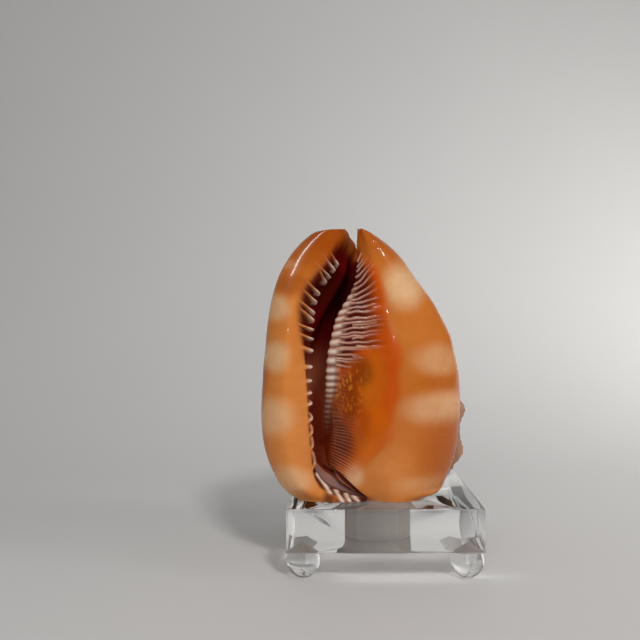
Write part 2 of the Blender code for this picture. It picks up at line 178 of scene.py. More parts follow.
# The beaded rope along the columella: (height, width), and the height of each bead
ROPE_WIDTH = ((28, 3.0), (36, 3.2), (42, 4.4), (47, 5.2), (54, 4.8), (62, 5.0), (66, 4.6),
              (72, 3.8), (78, 2.6), (83, 1.4), (88, 0.8))
BEADS = (22.0, 24.0, 26.0, 28.0, 30.0, 32.0, 34.0, 36.1, 38.2, 40.2, 42.3, 44.7, 47.4, 50.2,
         54.2, 57.7, 61.3, 64.6, 67.6, 70.3, 73.1, 76.3, 79.3, 82.3)

# Ridges from the rope across the parietal wall: start heights, where they start and end, rise
RIDGE_STARTS = (52.4, 54.2, 55.1, 56.6, 58.7, 59.4, 61.2, 63.4, 64.6, 66.7, 69.1, 70.6, 73.0,
                74.7, 76.6, 77.9, 79.9, 82.4, 84.7, 87.5, 89.9, 91.8, 94.1)
RIDGE_START_X = ((30, -18.4), (42, -17.4), (52, -16.6), (58.7, -16.0), (62, -15.2), (66, -14.3),
                 (70, -13.3), (73, -12.4), (76, -11.4), (80, -10.3), (84, -9.7), (87, -9.2),
                 (90, -8.7), (94, -8.5))
RIDGE_END_X = ((30, -14.5), (44, -13), (50, -12), (52, -11), (54, -7.9), (57, -6.6), (59, 1.4),
               (62, 0), (66, 1.6), (70.6, 1), (73, -1.3), (76.6, 0), (78, -0.8), (80, -1.1),
               (84.7, -1.9), (87.5, -3.1), (90, -4.7), (92, -6.2), (94, -7))
RIDGE_RISE = ((30, -0.6), (52, -0.4), (58, 0.5), (62, 1.2), (66, 2), (70, 1.6), (73, 1),
              (75, 1.8), (77, 3), (78, 4.8), (80, 5.6), (84.7, 7.4), (87.5, 5.3), (90, 5),
              (92, 3))
SHORT_RIDGES = (31.0, 32.6, 34.2, 35.8, 37.4, 39.0, 40.6, 42.2, 43.8, 45.4, 47.0, 48.7, 50.4)

# Branches of the ridges: x and height of their two ends
BRANCHES = ((-10.4, 62.7, -6.6, 63.7), (-8.8, 60.2, -4.7, 60.0), (-10.3, 56.0, -6.6, 56.0),
            (-2.8, 74.3, 0.3, 75.3), (-10.3, 68.4, -1.5, 69.5), (-10.3, 67.3, -4.4, 67.6))

# The fan of ridges at the foot of the columella: start heights, and tables by them
FAN_STARTS = (13.2, 14.3, 15.4, 16.6, 17.7, 18.8, 19.9, 21.0, 22.2, 23.3, 24.4, 25.5, 26.7, 27.8,
              28.9, 30.0, 31.2, 32.4, 33.6)
FAN_START_X = ((13, -19.2), (16, -19), (20, -18.8), (24, -18.4), (31, -18))
FAN_END_X = ((13, -9.5), (16, -7.8), (20, -6.2), (24, -5), (31, -6.5))
FAN_RISE = ((13, -4.6), (15, -5.4), (18, -5.8), (21, -5.0), (24, -3.2), (28, -2.0), (30, -1.4))
FAN_GROUND = ((-15.5, 22.0, 8.5, 12.5, 1.0),)

# Each family of ridges: its four tables, a ridge's half width, and how late along it it rises
LONG_FAMILY = (RIDGE_STARTS, RIDGE_START_X, RIDGE_END_X, RIDGE_RISE, 0.32, 1.2)
SHORT_FAMILY = (SHORT_RIDGES, RIDGE_START_X, RIDGE_END_X, RIDGE_RISE, 0.36, 1.8)
FAN_FAMILY = (FAN_STARTS, FAN_START_X, FAN_END_X, FAN_RISE, 0.29, 1.15)
LINE_HALF_WIDTH = 0.28

# Edge of the slot beside the canal, painted garnet as painted shade of its depth: (height, x),
# and its depth; the dark strip beside the aperture, as patches; and the two ends of the fine tan
# line down the foot of the columella
SLOT_EDGE = ((1, -3.9), (1.8, -4.9), (5.4, -9.2), (8.6, -12.9), (12, -17.0), (14, -19.5))
SLOT_DEPTH = 1.2
DARK_STRIP = ((-20.6, 25.0, 3.0, 17.0, 0.95), (-19.2, 14.0, 3.5, 5.0, 0.9))
TAN_LINE = (-18.1, 34.2, -17.2, 20.2)
TAN_HEIGHT = 0.15

# A small healed ring near the shield's tip: x, height, radius, half width and relief
RING = (-1.6, 100.0, 1.7, 0.4, 0.14)

# Pitch of the back's spiral cords, in millimetres, and of its riblets, in degrees
CORD_PITCH = 2.5
RIBLET_PITCH = 3.2

# Noise: amount, size of its waves in millimetres, and seed
WANDER = (0.35, 7.0, 5)
BLUR = (0.8, 16.0, 21)
WARP = (0.8, 17.0, 11)
LUMPS = (0.25, 11.0, 3)
WAVES = (0.07, 14.0, 8)

# Right edge of the red-orange part of the callus: (height, x)
WARM_EDGE = ((9, -8), (15, -5), (22, 2.2), (31, 4.4), (36, 6.3), (41, 7.8), (51, 7.9), (61, 6.8),
             (67, 5.0), (75, 3), (83, 1.5), (90, -1), (96, -4))

# Soft patches on the front: x, height, half width, half height, strength
CREAM_PATCHES = ((-36.5, 93.3, 4.0, 3.2, 0.35), (-40.5, 75.3, 6.5, 5.0, 0.85),
                 (-41.5, 56.0, 7.5, 6.5, 0.9), (-41.5, 33.6, 9.5, 8.0, 0.75),
                 (-33.0, 9.0, 8.5, 6.0, 0.7), (9.5, 83.5, 9.0, 9.5, 1.0),
                 (23.0, 55.0, 12.0, 6.0, 0.5), (23.0, 36.5, 15.0, 7.0, 0.65),
                 (15.4, 6.8, 11.0, 5.0, 0.35), (-10.0, 10.8, 4.0, 5.0, 1.0))
DUSK_PATCHES = ((-13.0, 40.0, 7.5, 17.0, 0.78), (-8.0, 50.0, 6.0, 7.5, 0.75),
                (-16.5, 24.0, 8.5, 10.0, 1.0), (-18.5, 34.0, 4.5, 26.0, 1.0),
                (-20.5, 16.0, 6.0, 7.0, 0.9), (-8.5, 30.0, 5.0, 10.0, 0.4))
PALE_PATCHES = ((2.0, 8.0, 14.0, 14.0, 0.8), (12.0, 70.0, 8.0, 12.0, 0.3))
DEEP_PATCHES = ((-20.0, 107.0, 16.0, 20.0, 1.0), (-47.0, 60.0, 4.0, 60.0, 0.7),
                (2.0, 107.0, 14.0, 14.0, 0.65), (27.0, 21.0, 12.0, 15.0, 0.6),
                (-34.0, 84.0, 9.0, 5.0, 0.65), (25.0, 46.0, 12.0, 4.0, 0.3))
AMBER_PATCHES = ((-3.0, 45.0, 5.5, 15.0, 1.0), (-1.0, 30.0, 6.0, 8.0, 0.7),
                 (-3.0, 19.0, 9.0, 9.0, 0.9))
GOLD_PATCHES = ((-11.0, 42.0, 7.5, 13.0, 1.0), (-13.0, 28.0, 5.0, 5.0, 0.4))

# Finishes of the acrylic: roughness, wear, share of the lamps' light that it lets through,
# transmission, and the colour of its cloudy parts; the grey-brown of the ground and drilled ones
# is painted shade of the dim hole and sockets. Light that enters by the upright faces is
# caught inside by the bottom one, so they let little through
CLEAR_SHADE = (0.95, 0.955, 0.95)
ACRYLICS = {"clear_acrylic": (0.004, 0.12, 0.85, 1.0, CLEAR_SHADE),
            "ground_acrylic": (0.85, 0.5, 0.4, 0.25, (0.45, 0.40, 0.365)),
            "drilled_acrylic": (0.5, 0.4, 0.5, 0.4, (0.42, 0.37, 0.33)),
            "side_acrylic": (0.004, 0.12, 0.1, 1.0, CLEAR_SHADE),
            "ball_acrylic": (0.006, 0.2, 0.6, 1.0, CLEAR_SHADE)}

# The stage, in metres: the sheet's near and far edges, half width, height and curve; what the
# lamps are turned to; each lamp's place, target, size and the rays that don't see it
NEAR, FAR, SIDE, TALL, BEND = -1.6, 0.95, 1.8, 1.8, 0.80
AIM = (0, -0.01, 0.07)
WALL_AIM = (0.38, 0.75, -0.12)
LAMPS = {"key": ((0.24, -0.72, 0.70), AIM, (0.13, 0.13), "glossy"),
         "strip": ((-0.36, -0.06, 0.58), AIM, (0.06, 0.28), "diffuse"),
         "spark": ((0.385, -0.18, 0.545), AIM, (0.05, 0.02), "diffuse"),
         "glint": ((-0.07, -0.514, 0.235), AIM, (0.05, 0.014), "diffuse"),
         "fill": ((-0.25, -0.90, 0.22), AIM, (0.4, 0.4), "glossy"),
         "wall": ((0.95, -0.20, 0.30), WALL_AIM, (0.5, 0.5), "glossy")}
WALL_SPREAD = math.radians(100)
SKY_COLOR = (0.96, 0.98, 1.0, 1.0)

# The camera looks level along +Y, with its lens shifted
CAMERA_PLACE = (-0.00974, -0.321, 0.09247)
CAMERA_SHIFT = (-0.0391, 0.01875)
CAMERA_CLIP = 0.01


class ShellSettings(bpy.types.PropertyGroup):
    """Fineness, relief and colours of the shell."""
    levels: IntProperty(name="Levels", description="Sections up the shell", default=316,
                        min=80, max=320)
    tooth_height: FloatProperty(name="Tooth height", description="How proud the lip's teeth are",
                                default=0.35 * MM, unit="LENGTH")
    bead_height: FloatProperty(name="Bead height", description="How far the rope's beads swell",
                               default=0.9 * MM, unit="LENGTH")
    ridge_height: FloatProperty(name="Ridge height", description="Height of the callus ridges",
                                default=0.6 * MM, unit="LENGTH")
    cord_height: FloatProperty(name="Cord height", description="Height of the cords on the back",
                               default=0.3 * MM, unit="LENGTH")
    peach: FloatVectorProperty(name="Peach", description="Ground colour of the front",
                               subtype="COLOR", default=(0.47, 0.122, 0.014))
    apricot: FloatVectorProperty(name="Apricot", description="Lighter clouds of the front",
                                 subtype="COLOR", default=(0.62, 0.215, 0.048))
    cream: FloatVectorProperty(name="Cream", description="Cream patches", subtype="COLOR",
                               default=(0.66, 0.405, 0.21))
    ember: FloatVectorProperty(name="Ember", description="Red-orange of the callus",
                               subtype="COLOR", default=(0.57, 0.07, 0.001))
    amber: FloatVectorProperty(name="Amber", description="Amber of the callus",
                               subtype="COLOR", default=(0.60, 0.125, 0.001))
    umber: FloatVectorProperty(name="Umber", description="Brown beside the rope",
                               subtype="COLOR", default=(0.10, 0.02, 0.0015))
    gold: FloatVectorProperty(name="Gold", description="Flecks on the brown", subtype="COLOR",
                              default=(0.52, 0.15, 0.012))
    ginger: FloatVectorProperty(name="Ginger", description="Deep orange of the lip's top",
                                subtype="COLOR", default=(0.34, 0.064, 0.003))
    lilac: FloatVectorProperty(name="Lilac", description="Greyish canal behind the lip's foot",
                               subtype="COLOR", default=(0.19, 0.12, 0.11))
    # Garnet is also painted shade inside the aperture and in the canal slot
    garnet: FloatVectorProperty(name="Garnet", description="Grooves between teeth and ridges",
                                subtype="COLOR", default=(0.075, 0.005, 0.002))
    maroon: FloatVectorProperty(name="Maroon", description="Inside of the aperture",
                                subtype="COLOR", default=(0.20, 0.004, 0.004))
    # Lower inside: its mauve-brown, painted much lighter as painted light where light falls into
    # the aperture
    lower_inside_painted_light: FloatVectorProperty(name="Dusky", description="Inside, lower part", subtype="COLOR",
                               default=(0.88, 0.32, 0.15))
    enamel: FloatVectorProperty(name="Enamel", description="Teeth and beads", subtype="COLOR",
                                default=(0.80, 0.69, 0.58))
    brick: FloatVectorProperty(name="Brick", description="Ground colour of the back",
                               subtype="COLOR", default=(0.27, 0.09, 0.044))
    chestnut: FloatVectorProperty(name="Chestnut", description="Dark clouds of the back",
                                  subtype="COLOR", default=(0.10, 0.035, 0.02))
    oat: FloatVectorProperty(name="Oat", description="Pale clouds of the back",
                             subtype="COLOR", default=(0.40, 0.23, 0.14))


class BlockSettings(bpy.types.PropertyGroup):
    """Sizes and finish of the clear block and its feet."""
    edge_round: FloatProperty(name="Edge round", description="Radius of the polished edges",
                              default=0.4 * MM, unit="LENGTH")
    hole_diameter: FloatProperty(name="Hole", description="Diameter of the hole",
                                 default=25.4 * MM, unit="LENGTH")
    socket_diameter: FloatProperty(name="Socket", description="Diameter of a foot's socket",
                                   default=12.0 * MM, unit="LENGTH")
    socket_half_angle: FloatProperty(name="Socket angle", description="Half angle of a socket",
                                     default=math.radians(59.0), subtype="ANGLE")
    ball_diameter: FloatProperty(name="Ball", description="Diameter of a ball foot",
                                 default=12.7 * MM, unit="LENGTH")
    ball_flat: FloatProperty(name="Ball flat", description="Diameter of the flat under a ball",
                             default=3.0 * MM, unit="LENGTH")
    tint: FloatVectorProperty(name="Tint", description="Tint of the clear acrylic",
                              subtype="COLOR", default=(0.975, 0.98, 0.975))


class StageSettings(bpy.types.PropertyGroup):
    """Floor, light and camera."""
    paper: FloatVectorProperty(name="Paper", description="Colour of floor and backdrop",
                               subtype="COLOR", default=(0.67, 0.65, 0.63))
    sky: FloatProperty(name="Sky", description="Strength of the light all round", default=0.35)
    key: FloatProperty(name="Key", description="Power of the key light", default=4.1,
                       unit="POWER")
    fill: FloatProperty(name="Fill", description="Power of the soft light from the front",
                        default=1.7, unit="POWER")
    wall: FloatProperty(name="Wall", description="Power of the light on the backdrop",
                        default=4.4, unit="POWER")
    strip: FloatProperty(name="Strip", description="Power of the strip light", default=1.3,
                         unit="POWER")
    spark: FloatProperty(name="Spark", description="Power of the small light at the upper right",
                         default=0.25, unit="POWER")
    glint: FloatProperty(name="Glint", description="Power of the small light at the camera",
                         default=0.15, unit="POWER")
    lens: FloatProperty(name="Lens", description="Focal length in mm on a 36 mm sensor",
                        default=41.34)


def hermite(u, first, last, slope_first, slope_last):
    """Smooth curve from a first to a last value with given slopes, at a share u of the way."""
    return ((1 + 2 * u) * (1 - u) ** 2 * first + u * (1 - u) ** 2 * slope_first
            + u ** 2 * (3 - 2 * u) * last - u ** 2 * (1 - u) * slope_last)


def curve_value(points, at):
    """Value at each height on the smooth curve through (height, value) points."""
    knots, values = np.array(points, float).T
    slopes = np.gradient(values, knots)
    at = np.clip(at, knots[0], knots[-1])
    k = np.clip(np.searchsorted(knots, at, side="right") - 1, 0, len(knots) - 2)
    step = knots[k + 1] - knots[k]
    return hermite((at - knots[k]) / step, values[k], values[k + 1],
                   step * slopes[k], step * slopes[k + 1])


def ease(low, high, at):
    """0 below low, 1 above high, smooth in between."""
    u = np.clip((at - low) / (high - low), 0.0, 1.0)
    return u * u * (3 - 2 * u)


def closed_curve(points, counts):
    """Points along the smooth closed curve through the given ones, counts[k] for stretch k."""
    after = np.roll(points, -1, axis=0) - points
    length = np.linalg.norm(after, axis=1, keepdims=True)
    direction = after / length
    length_before = np.roll(length, 1, axis=0)
    slope = np.roll(direction, 1, axis=0) * length + direction * length_before
    slope /= length + length_before
    run = []
    for k, count in enumerate(counts):
        following = (k + 1) % len(points)
        u = (np.arange(count) / count)[:, None]
        run.append(hermite(u, points[k], points[following],
                           length[k] * slope[k], length[k] * slope[following]))
    return np.concatenate(run)


def smooth_noise(points, amount, size, seed):
    """Smooth values within about an amount of 0, with waves about a size long."""
    random = np.random.default_rng(seed)
    total = np.zeros(points.shape[:-1])
    waves = 7
    for _ in range(waves):
        direction = random.normal(size=3)
        direction /= np.linalg.norm(direction)
        turn = points @ direction * (2 * math.pi / size * random.uniform(0.6, 1.5))
        total += np.sin(turn + random.uniform(0, 2 * math.pi))
    return amount * (total / math.sqrt(waves))


def strongest(*masks):
    """The largest of several masks at each point."""
    result = masks[0]
    for mask in masks[1:]:
        result = np.maximum(result, mask)
    return result


def body_height(level):
    """Height of the body whorl's ring that belongs to the front's level."""
    return (level + SHOULDER_LIFT * (1 - ease(SECTION_BOTTOM, SHOULDER_END, level))
            - CANAL_DROP * ease(CANAL_START, SECTION_TOP, level))


def on_body(angle, height, inset=0.0, share=1.0):
    """Point on the body whorl's ellipse at an angle, or inside it by an inset or a share."""
    turn = math.radians(angle)
    half_width = curve_value(BODY_HALF_WIDTH, height) - inset
    half_depth = curve_value(BODY_HALF_DEPTH, height) - inset
    return (curve_value(BODY_X, height) + share * half_width * math.cos(turn),
            curve_value(BODY_Y, height) + share * half_depth * math.sin(turn), height)


def section(level):
    """Leading points of the C at one level: the outside, then the cavity."""
    front = curve_value(FRONT, level)
    lip, tooth = curve_value(LIP_EDGE, level), curve_value(TOOTH_EDGE, level)
    rope, crest = curve_value(ROPE_EDGE, level), curve_value(CREST, level)
    shield = curve_value(SHIELD_EDGE, level)
    tooth_y = front + curve_value(TOOTH_DEPTH, level)
    lip_depth = curve_value(LIP_DEPTH, level)
    rope_y = front + curve_value(ROPE_DEPTH, level)
    rope_depth = rope_y - front
    shield_depth = curve_value(SHIELD_DEPTH, level)
    body = body_height(level)
    lip_width = tooth - lip
    face_width = shield - crest
    groove_height = 0.3 * level + 0.7 * body
    groove_left, groove_right = [np.array((*on_body(angle, body)[:2], groove_height))
                                 for angle in GROOVE_ANGLES]
    lip_back = np.array((lip + 0.13 * lip_width, front + lip_depth, level))
    shield_back = np.array((shield - 0.05 * face_width, front + shield_depth + 2.2, level))

    outside = [
        (tooth, tooth_y, level),
        (tooth - 0.2 * lip_width, front + 0.38 * (tooth_y - front), level),
        (tooth - 0.5 * lip_width, front, level),
        (lip + 0.17 * lip_width, front + 0.24 * lip_depth, level),
        (lip, front + 0.62 * lip_depth, level),
        lip_back,
        0.5 * lip_back + 0.5 * groove_left + np.array((0, 0.6, 0)),
        groove_left]
    outside += [on_body(angle, body) for angle in BODY_ANGLES]
    outside += [
        groove_right,
        0.3 * shield_back + 0.7 * groove_right + np.array((0.4, 0, 0)),
        (shield, front + shield_depth, level),
        (crest + 0.62 * face_width, front + 0.24 * shield_depth, level),
        (crest, front, level),
        (0.5 * (crest + rope), front + 0.42 * rope_depth, level),
        (rope + 0.12 * (crest - rope), front + 0.83 * rope_depth, level),
        (rope, rope_y, level)]

    inner = (body + CAVITY_LIFT * (1 - ease(SECTION_BOTTOM, SHOULDER_END, level))
             + 2 * ease(98, SECTION_TOP, level))
    lean = LOBE_LEAN * ease(95, 106, level)
    near = level + 0.45 * (inner - level)
    edge = level + 0.2 * (inner - level)
    wall = curve_value(WALL, inner)
    core = curve_value(CORE_SIZE, inner)
    tip = curve_value(CAVITY_TIP_ANGLE, inner)
    behind_rope = (rope + 2.2, rope_y + 4.5, edge)
    wall_front = np.array(on_body(GROOVE_ANGLES[0] - 4, inner, wall))
    cavity = [
        behind_rope,
        0.5 * np.array(behind_rope) + 0.5 * np.array(on_body(205, near, 0, core)),
        on_body(CORE_ANGLE, inner, 0, core),
        on_body(0.5 * (CORE_ANGLE + tip), inner, 0, core),
        on_body(tip, inner, wall, 0.86)]
    cavity += [on_body(tip + share * (180 - tip), inner, wall) for share in (0.15, 0.4, 0.65, 0.88)]
    cavity += [
        wall_front,
        0.62 * np.array((tooth - 1.5 + lean, tooth_y + 6, edge)) + 0.38 * wall_front,
        (tooth - 0.8 + lean, tooth_y + 3.4, edge)]
    return np.array(outside + cavity, float)


def stretch_places(counts, lengths=None):
    """Place of each fine point along the section, each stretch counted as 1 or as its length."""
    lengths = lengths or (1,) * len(counts)
    return np.concatenate([sum(lengths[:k]) + lengths[k] * np.arange(n) / n
                           for k, n in enumerate(counts)])


def shell_levels(settings):
    """Heights of the sections, closer together near both ends."""
    spread = np.arange(settings.levels) / (settings.levels - 1)
    spread = 0.75 * spread + 0.25 * (0.5 - 0.5 * np.cos(math.pi * spread))
    return SECTION_BOTTOM + (SECTION_TOP - RIM_RADIUS - SECTION_BOTTOM) * spread


def outward(grid):
    """Unit normals of a grid of rings, pointing out of the shell."""
    along = np.roll(grid, -1, axis=1) - np.roll(grid, 1, axis=1)
    up = np.gradient(grid, axis=0)
    normal = np.cross(up, along)
    return normal / np.linalg.norm(normal, axis=2, keepdims=True)


def patches(x, z, table):
    """Strength of the strongest soft patch at each point."""
    total = np.zeros_like(x)
    for middle_x, middle_z, half_x, half_z, strength in table:
        away = np.hypot((x - middle_x) / half_x, (z - middle_z) / half_z)
        total = np.maximum(total, strength * (1 - ease(0.35, 1.3, away)))
    return total


def bar(x, z, ends, half_width):
    """Nearness to a straight bar between two ends, 1 on it."""
    x0, z0, x1, z1 = ends
    along = ((x - x0) * (x1 - x0) + (z - z0) * (z1 - z0)) / math.hypot(x1 - x0, z1 - z0) ** 2
    held = np.clip(along, 0, 1)
    away = np.hypot(x - x0 - held * (x1 - x0), z - z0 - held * (z1 - z0))
    return np.exp(-(away / half_width) ** 2)


def lip_teeth(x, z, place, edge_x, inside_by):
    """Relief of the lip's teeth, their white tips, relief of the notches, and their dark."""
    out = np.where(place < AT_BODY, edge_x - x, -0.7 * inside_by)
    teeth, tips = np.zeros_like(x), np.zeros_like(x)
    for tip_z, base_x, base_z, half_width in TEETH:
        tip_x = curve_value(TOOTH_EDGE, tip_z)
        step_x, step_z = base_x - tip_x, base_z - tip_z
        from_tip_x, from_tip_z = edge_x - out - tip_x, z - tip_z
        length = math.hypot(step_x, step_z)
        share = (from_tip_x * step_x + from_tip_z * step_z) / length ** 2
        away = (from_tip_x * step_z - from_tip_z * step_x) / length
        width = half_width * (1 - 0.45 * np.clip(share, 0, 1))
        near = np.exp(-np.abs(away / width) ** 3) * (1 - ease(0.65, 1.2, share))
        near *= ease(-3.0, -1.2, out)
        teeth = np.maximum(teeth, near)
        whiteness = 0.3 + 0.7 * ease(24, 38, tip_z)
        tips = np.maximum(tips, whiteness * near ** 2 * (1 - 0.95 * ease(0.0, 0.5, share)))
    share = np.clip(out / curve_value(NOTCH_REACH, z), 0, 1)
    behind = ease(-6.0, -0.5, out)
    deep = np.where(out >= 0, (1 - share) ** 1.3, behind)
    dark = np.where(out >= 0, 1 - ease(0.45, 0.95, share), behind)
    proud = np.where(out >= 0, 1 - 0.7 * share, behind)
    return teeth * proud, tips, (1 - teeth) * deep, (1 - teeth) * dark


def rope(x, level, place, front_side):
    """Roundness of the rope along the columella, how far across it a point is, and its beads."""
    rope_x = curve_value(ROPE_EDGE, level)
    across = (x - rope_x) / curve_value(ROPE_WIDTH, level)
    inner_side = (place > AT_ROPE_EDGE) & (place < AT_ROPE_EDGE + 2)
    roundness = np.where(inner_side, 1 - ease(0.0, 1.2, place - AT_ROPE_EDGE),
                         np.sqrt(np.clip(1 - (2 * across - 0.75) ** 2 / 1.6, 0, 1)))
    roundness = roundness * (front_side | inner_side) * (across < 1.2)
    roundness *= ease(24, 40, level) * (1 - ease(80, 86, level))
    tilt = 0.06 + 0.2 * ease(58, 68, level)
    index = np.interp(level - tilt * (x - rope_x), BEADS, np.arange(len(BEADS)))
    return roundness, across, (0.5 + 0.5 * np.cos(2 * math.pi * index)) ** 0.7


def ridge_family(x, z, family, wander):
    """Nearness to the nearest of a family of ridges, 1 on it, fading at their ends."""
    starts, start_x, end_x, rise, half_width, power = family
    near_all = np.zeros_like(x)
    for start in starts:
        x0 = curve_value(start_x, start)
        x1 = curve_value(end_x, start)
        lift = curve_value(rise, start)
        share = (x - x0) / (x1 - x0)
        held = np.clip(share, 0, 1)
        middle = start + lift * held ** power + wander * (1 - 0.6 * held)
        slope = np.arctan2(lift * power * held ** (power - 1), x1 - x0)
        away = (z - middle) * np.cos(slope)
        near = np.exp(-(away / (half_width * (1 - 0.35 * held))) ** 2)
        near *= ease(-0.12, 0.02, share) * (1 - ease(0.8, 1.08, share))
        near_all = np.maximum(near_all, near)
    return near_all


def knob_height(grid):
    """How far each point of the body whorl stands out for its knobs."""
    turn = np.arctan2(grid[..., 1] - curve_value(BODY_Y, grid[..., 2]),
                      grid[..., 0] - curve_value(BODY_X, grid[..., 2]))
    raised = np.zeros(turn.shape)
    for height, amount, half_height, turned in KNOB_ROWS:
        wave = 0.5 + 0.5 * np.cos(2 * math.pi * (turn / KNOB_PITCH + turned))
        raised += amount * wave ** 1.5 * np.exp(-((grid[..., 2] - height) / half_height) ** 2)
    away = np.degrees(np.abs(turn - math.radians(90)))
    return raised * (1 - ease(96, 112, away)), turn


def flat_noise(x, z, noise):
    """Noise that changes across the front and up it, but not with depth."""
    return smooth_noise(np.stack((x, 0 * x, z), 2), *noise)


def callus(x, level, wander, front_side):
    """Masks of the ridges beside the rope, of the grooved ground they stand on, and fades."""
    ridge = ridge_family(x, level, LONG_FAMILY, wander)
    for ends in BRANCHES:
        ridge = np.maximum(ridge, bar(x, level - wander, ends, LINE_HALF_WIDTH))
    fan = ridge_family(x, level, FAN_FAMILY, 0.4 * wander)
    right = curve_value(RIDGE_END_X, np.clip(level - 1.5, 52, 94)) + 1.0
    left = curve_value(RIDGE_START_X, level) - 0.6
    ridged = ease(-0.6, 0.8, x - left) * (1 - ease(-4.0, 1.0, x - right)) * ease(50, 55, level)
    ridged *= 1 - ease(96, 101, level)
    short = ridge_family(x, level, SHORT_FAMILY, wander)
    fanned = patches(x, level + 0.35 * (x + 14), FAN_GROUND)
    tan_line = bar(x, level, TAN_LINE, LINE_HALF_WIDTH)
    fan *= 1 - 0.6 * ease(25, 33, level)
    fan_left = 1 - ease(-16.5, -7.5, x)
    end_fade = 1 - ease(0.35, 1.0, (x - left) / np.maximum(right - left, 1.0))
    masks = [mask * front_side for mask in (ridge, short, fan, tan_line, ridged, fanned)]
    return masks + [fan_left, end_fade]


def back_relief(grid, z, turn, level, cord):
    """Spiral cords, riblets across them and broad lumps of the back."""
    on_neck = ease(84, 92, level)
    warp = smooth_noise(grid, *WARP)
    cords = np.cos(2 * math.pi * (z + warp) / CORD_PITCH)
    riblets = np.cos(2 * math.pi * (np.degrees(turn) + 1.5 * warp) / RIBLET_PITCH)
    woven = 0.45 * cords + 0.35 * riblets * (0.5 + 0.5 * cords)
    return cord * (1 - 0.6 * on_neck) * woven + (1 - on_neck) * smooth_noise(grid, *LUMPS)


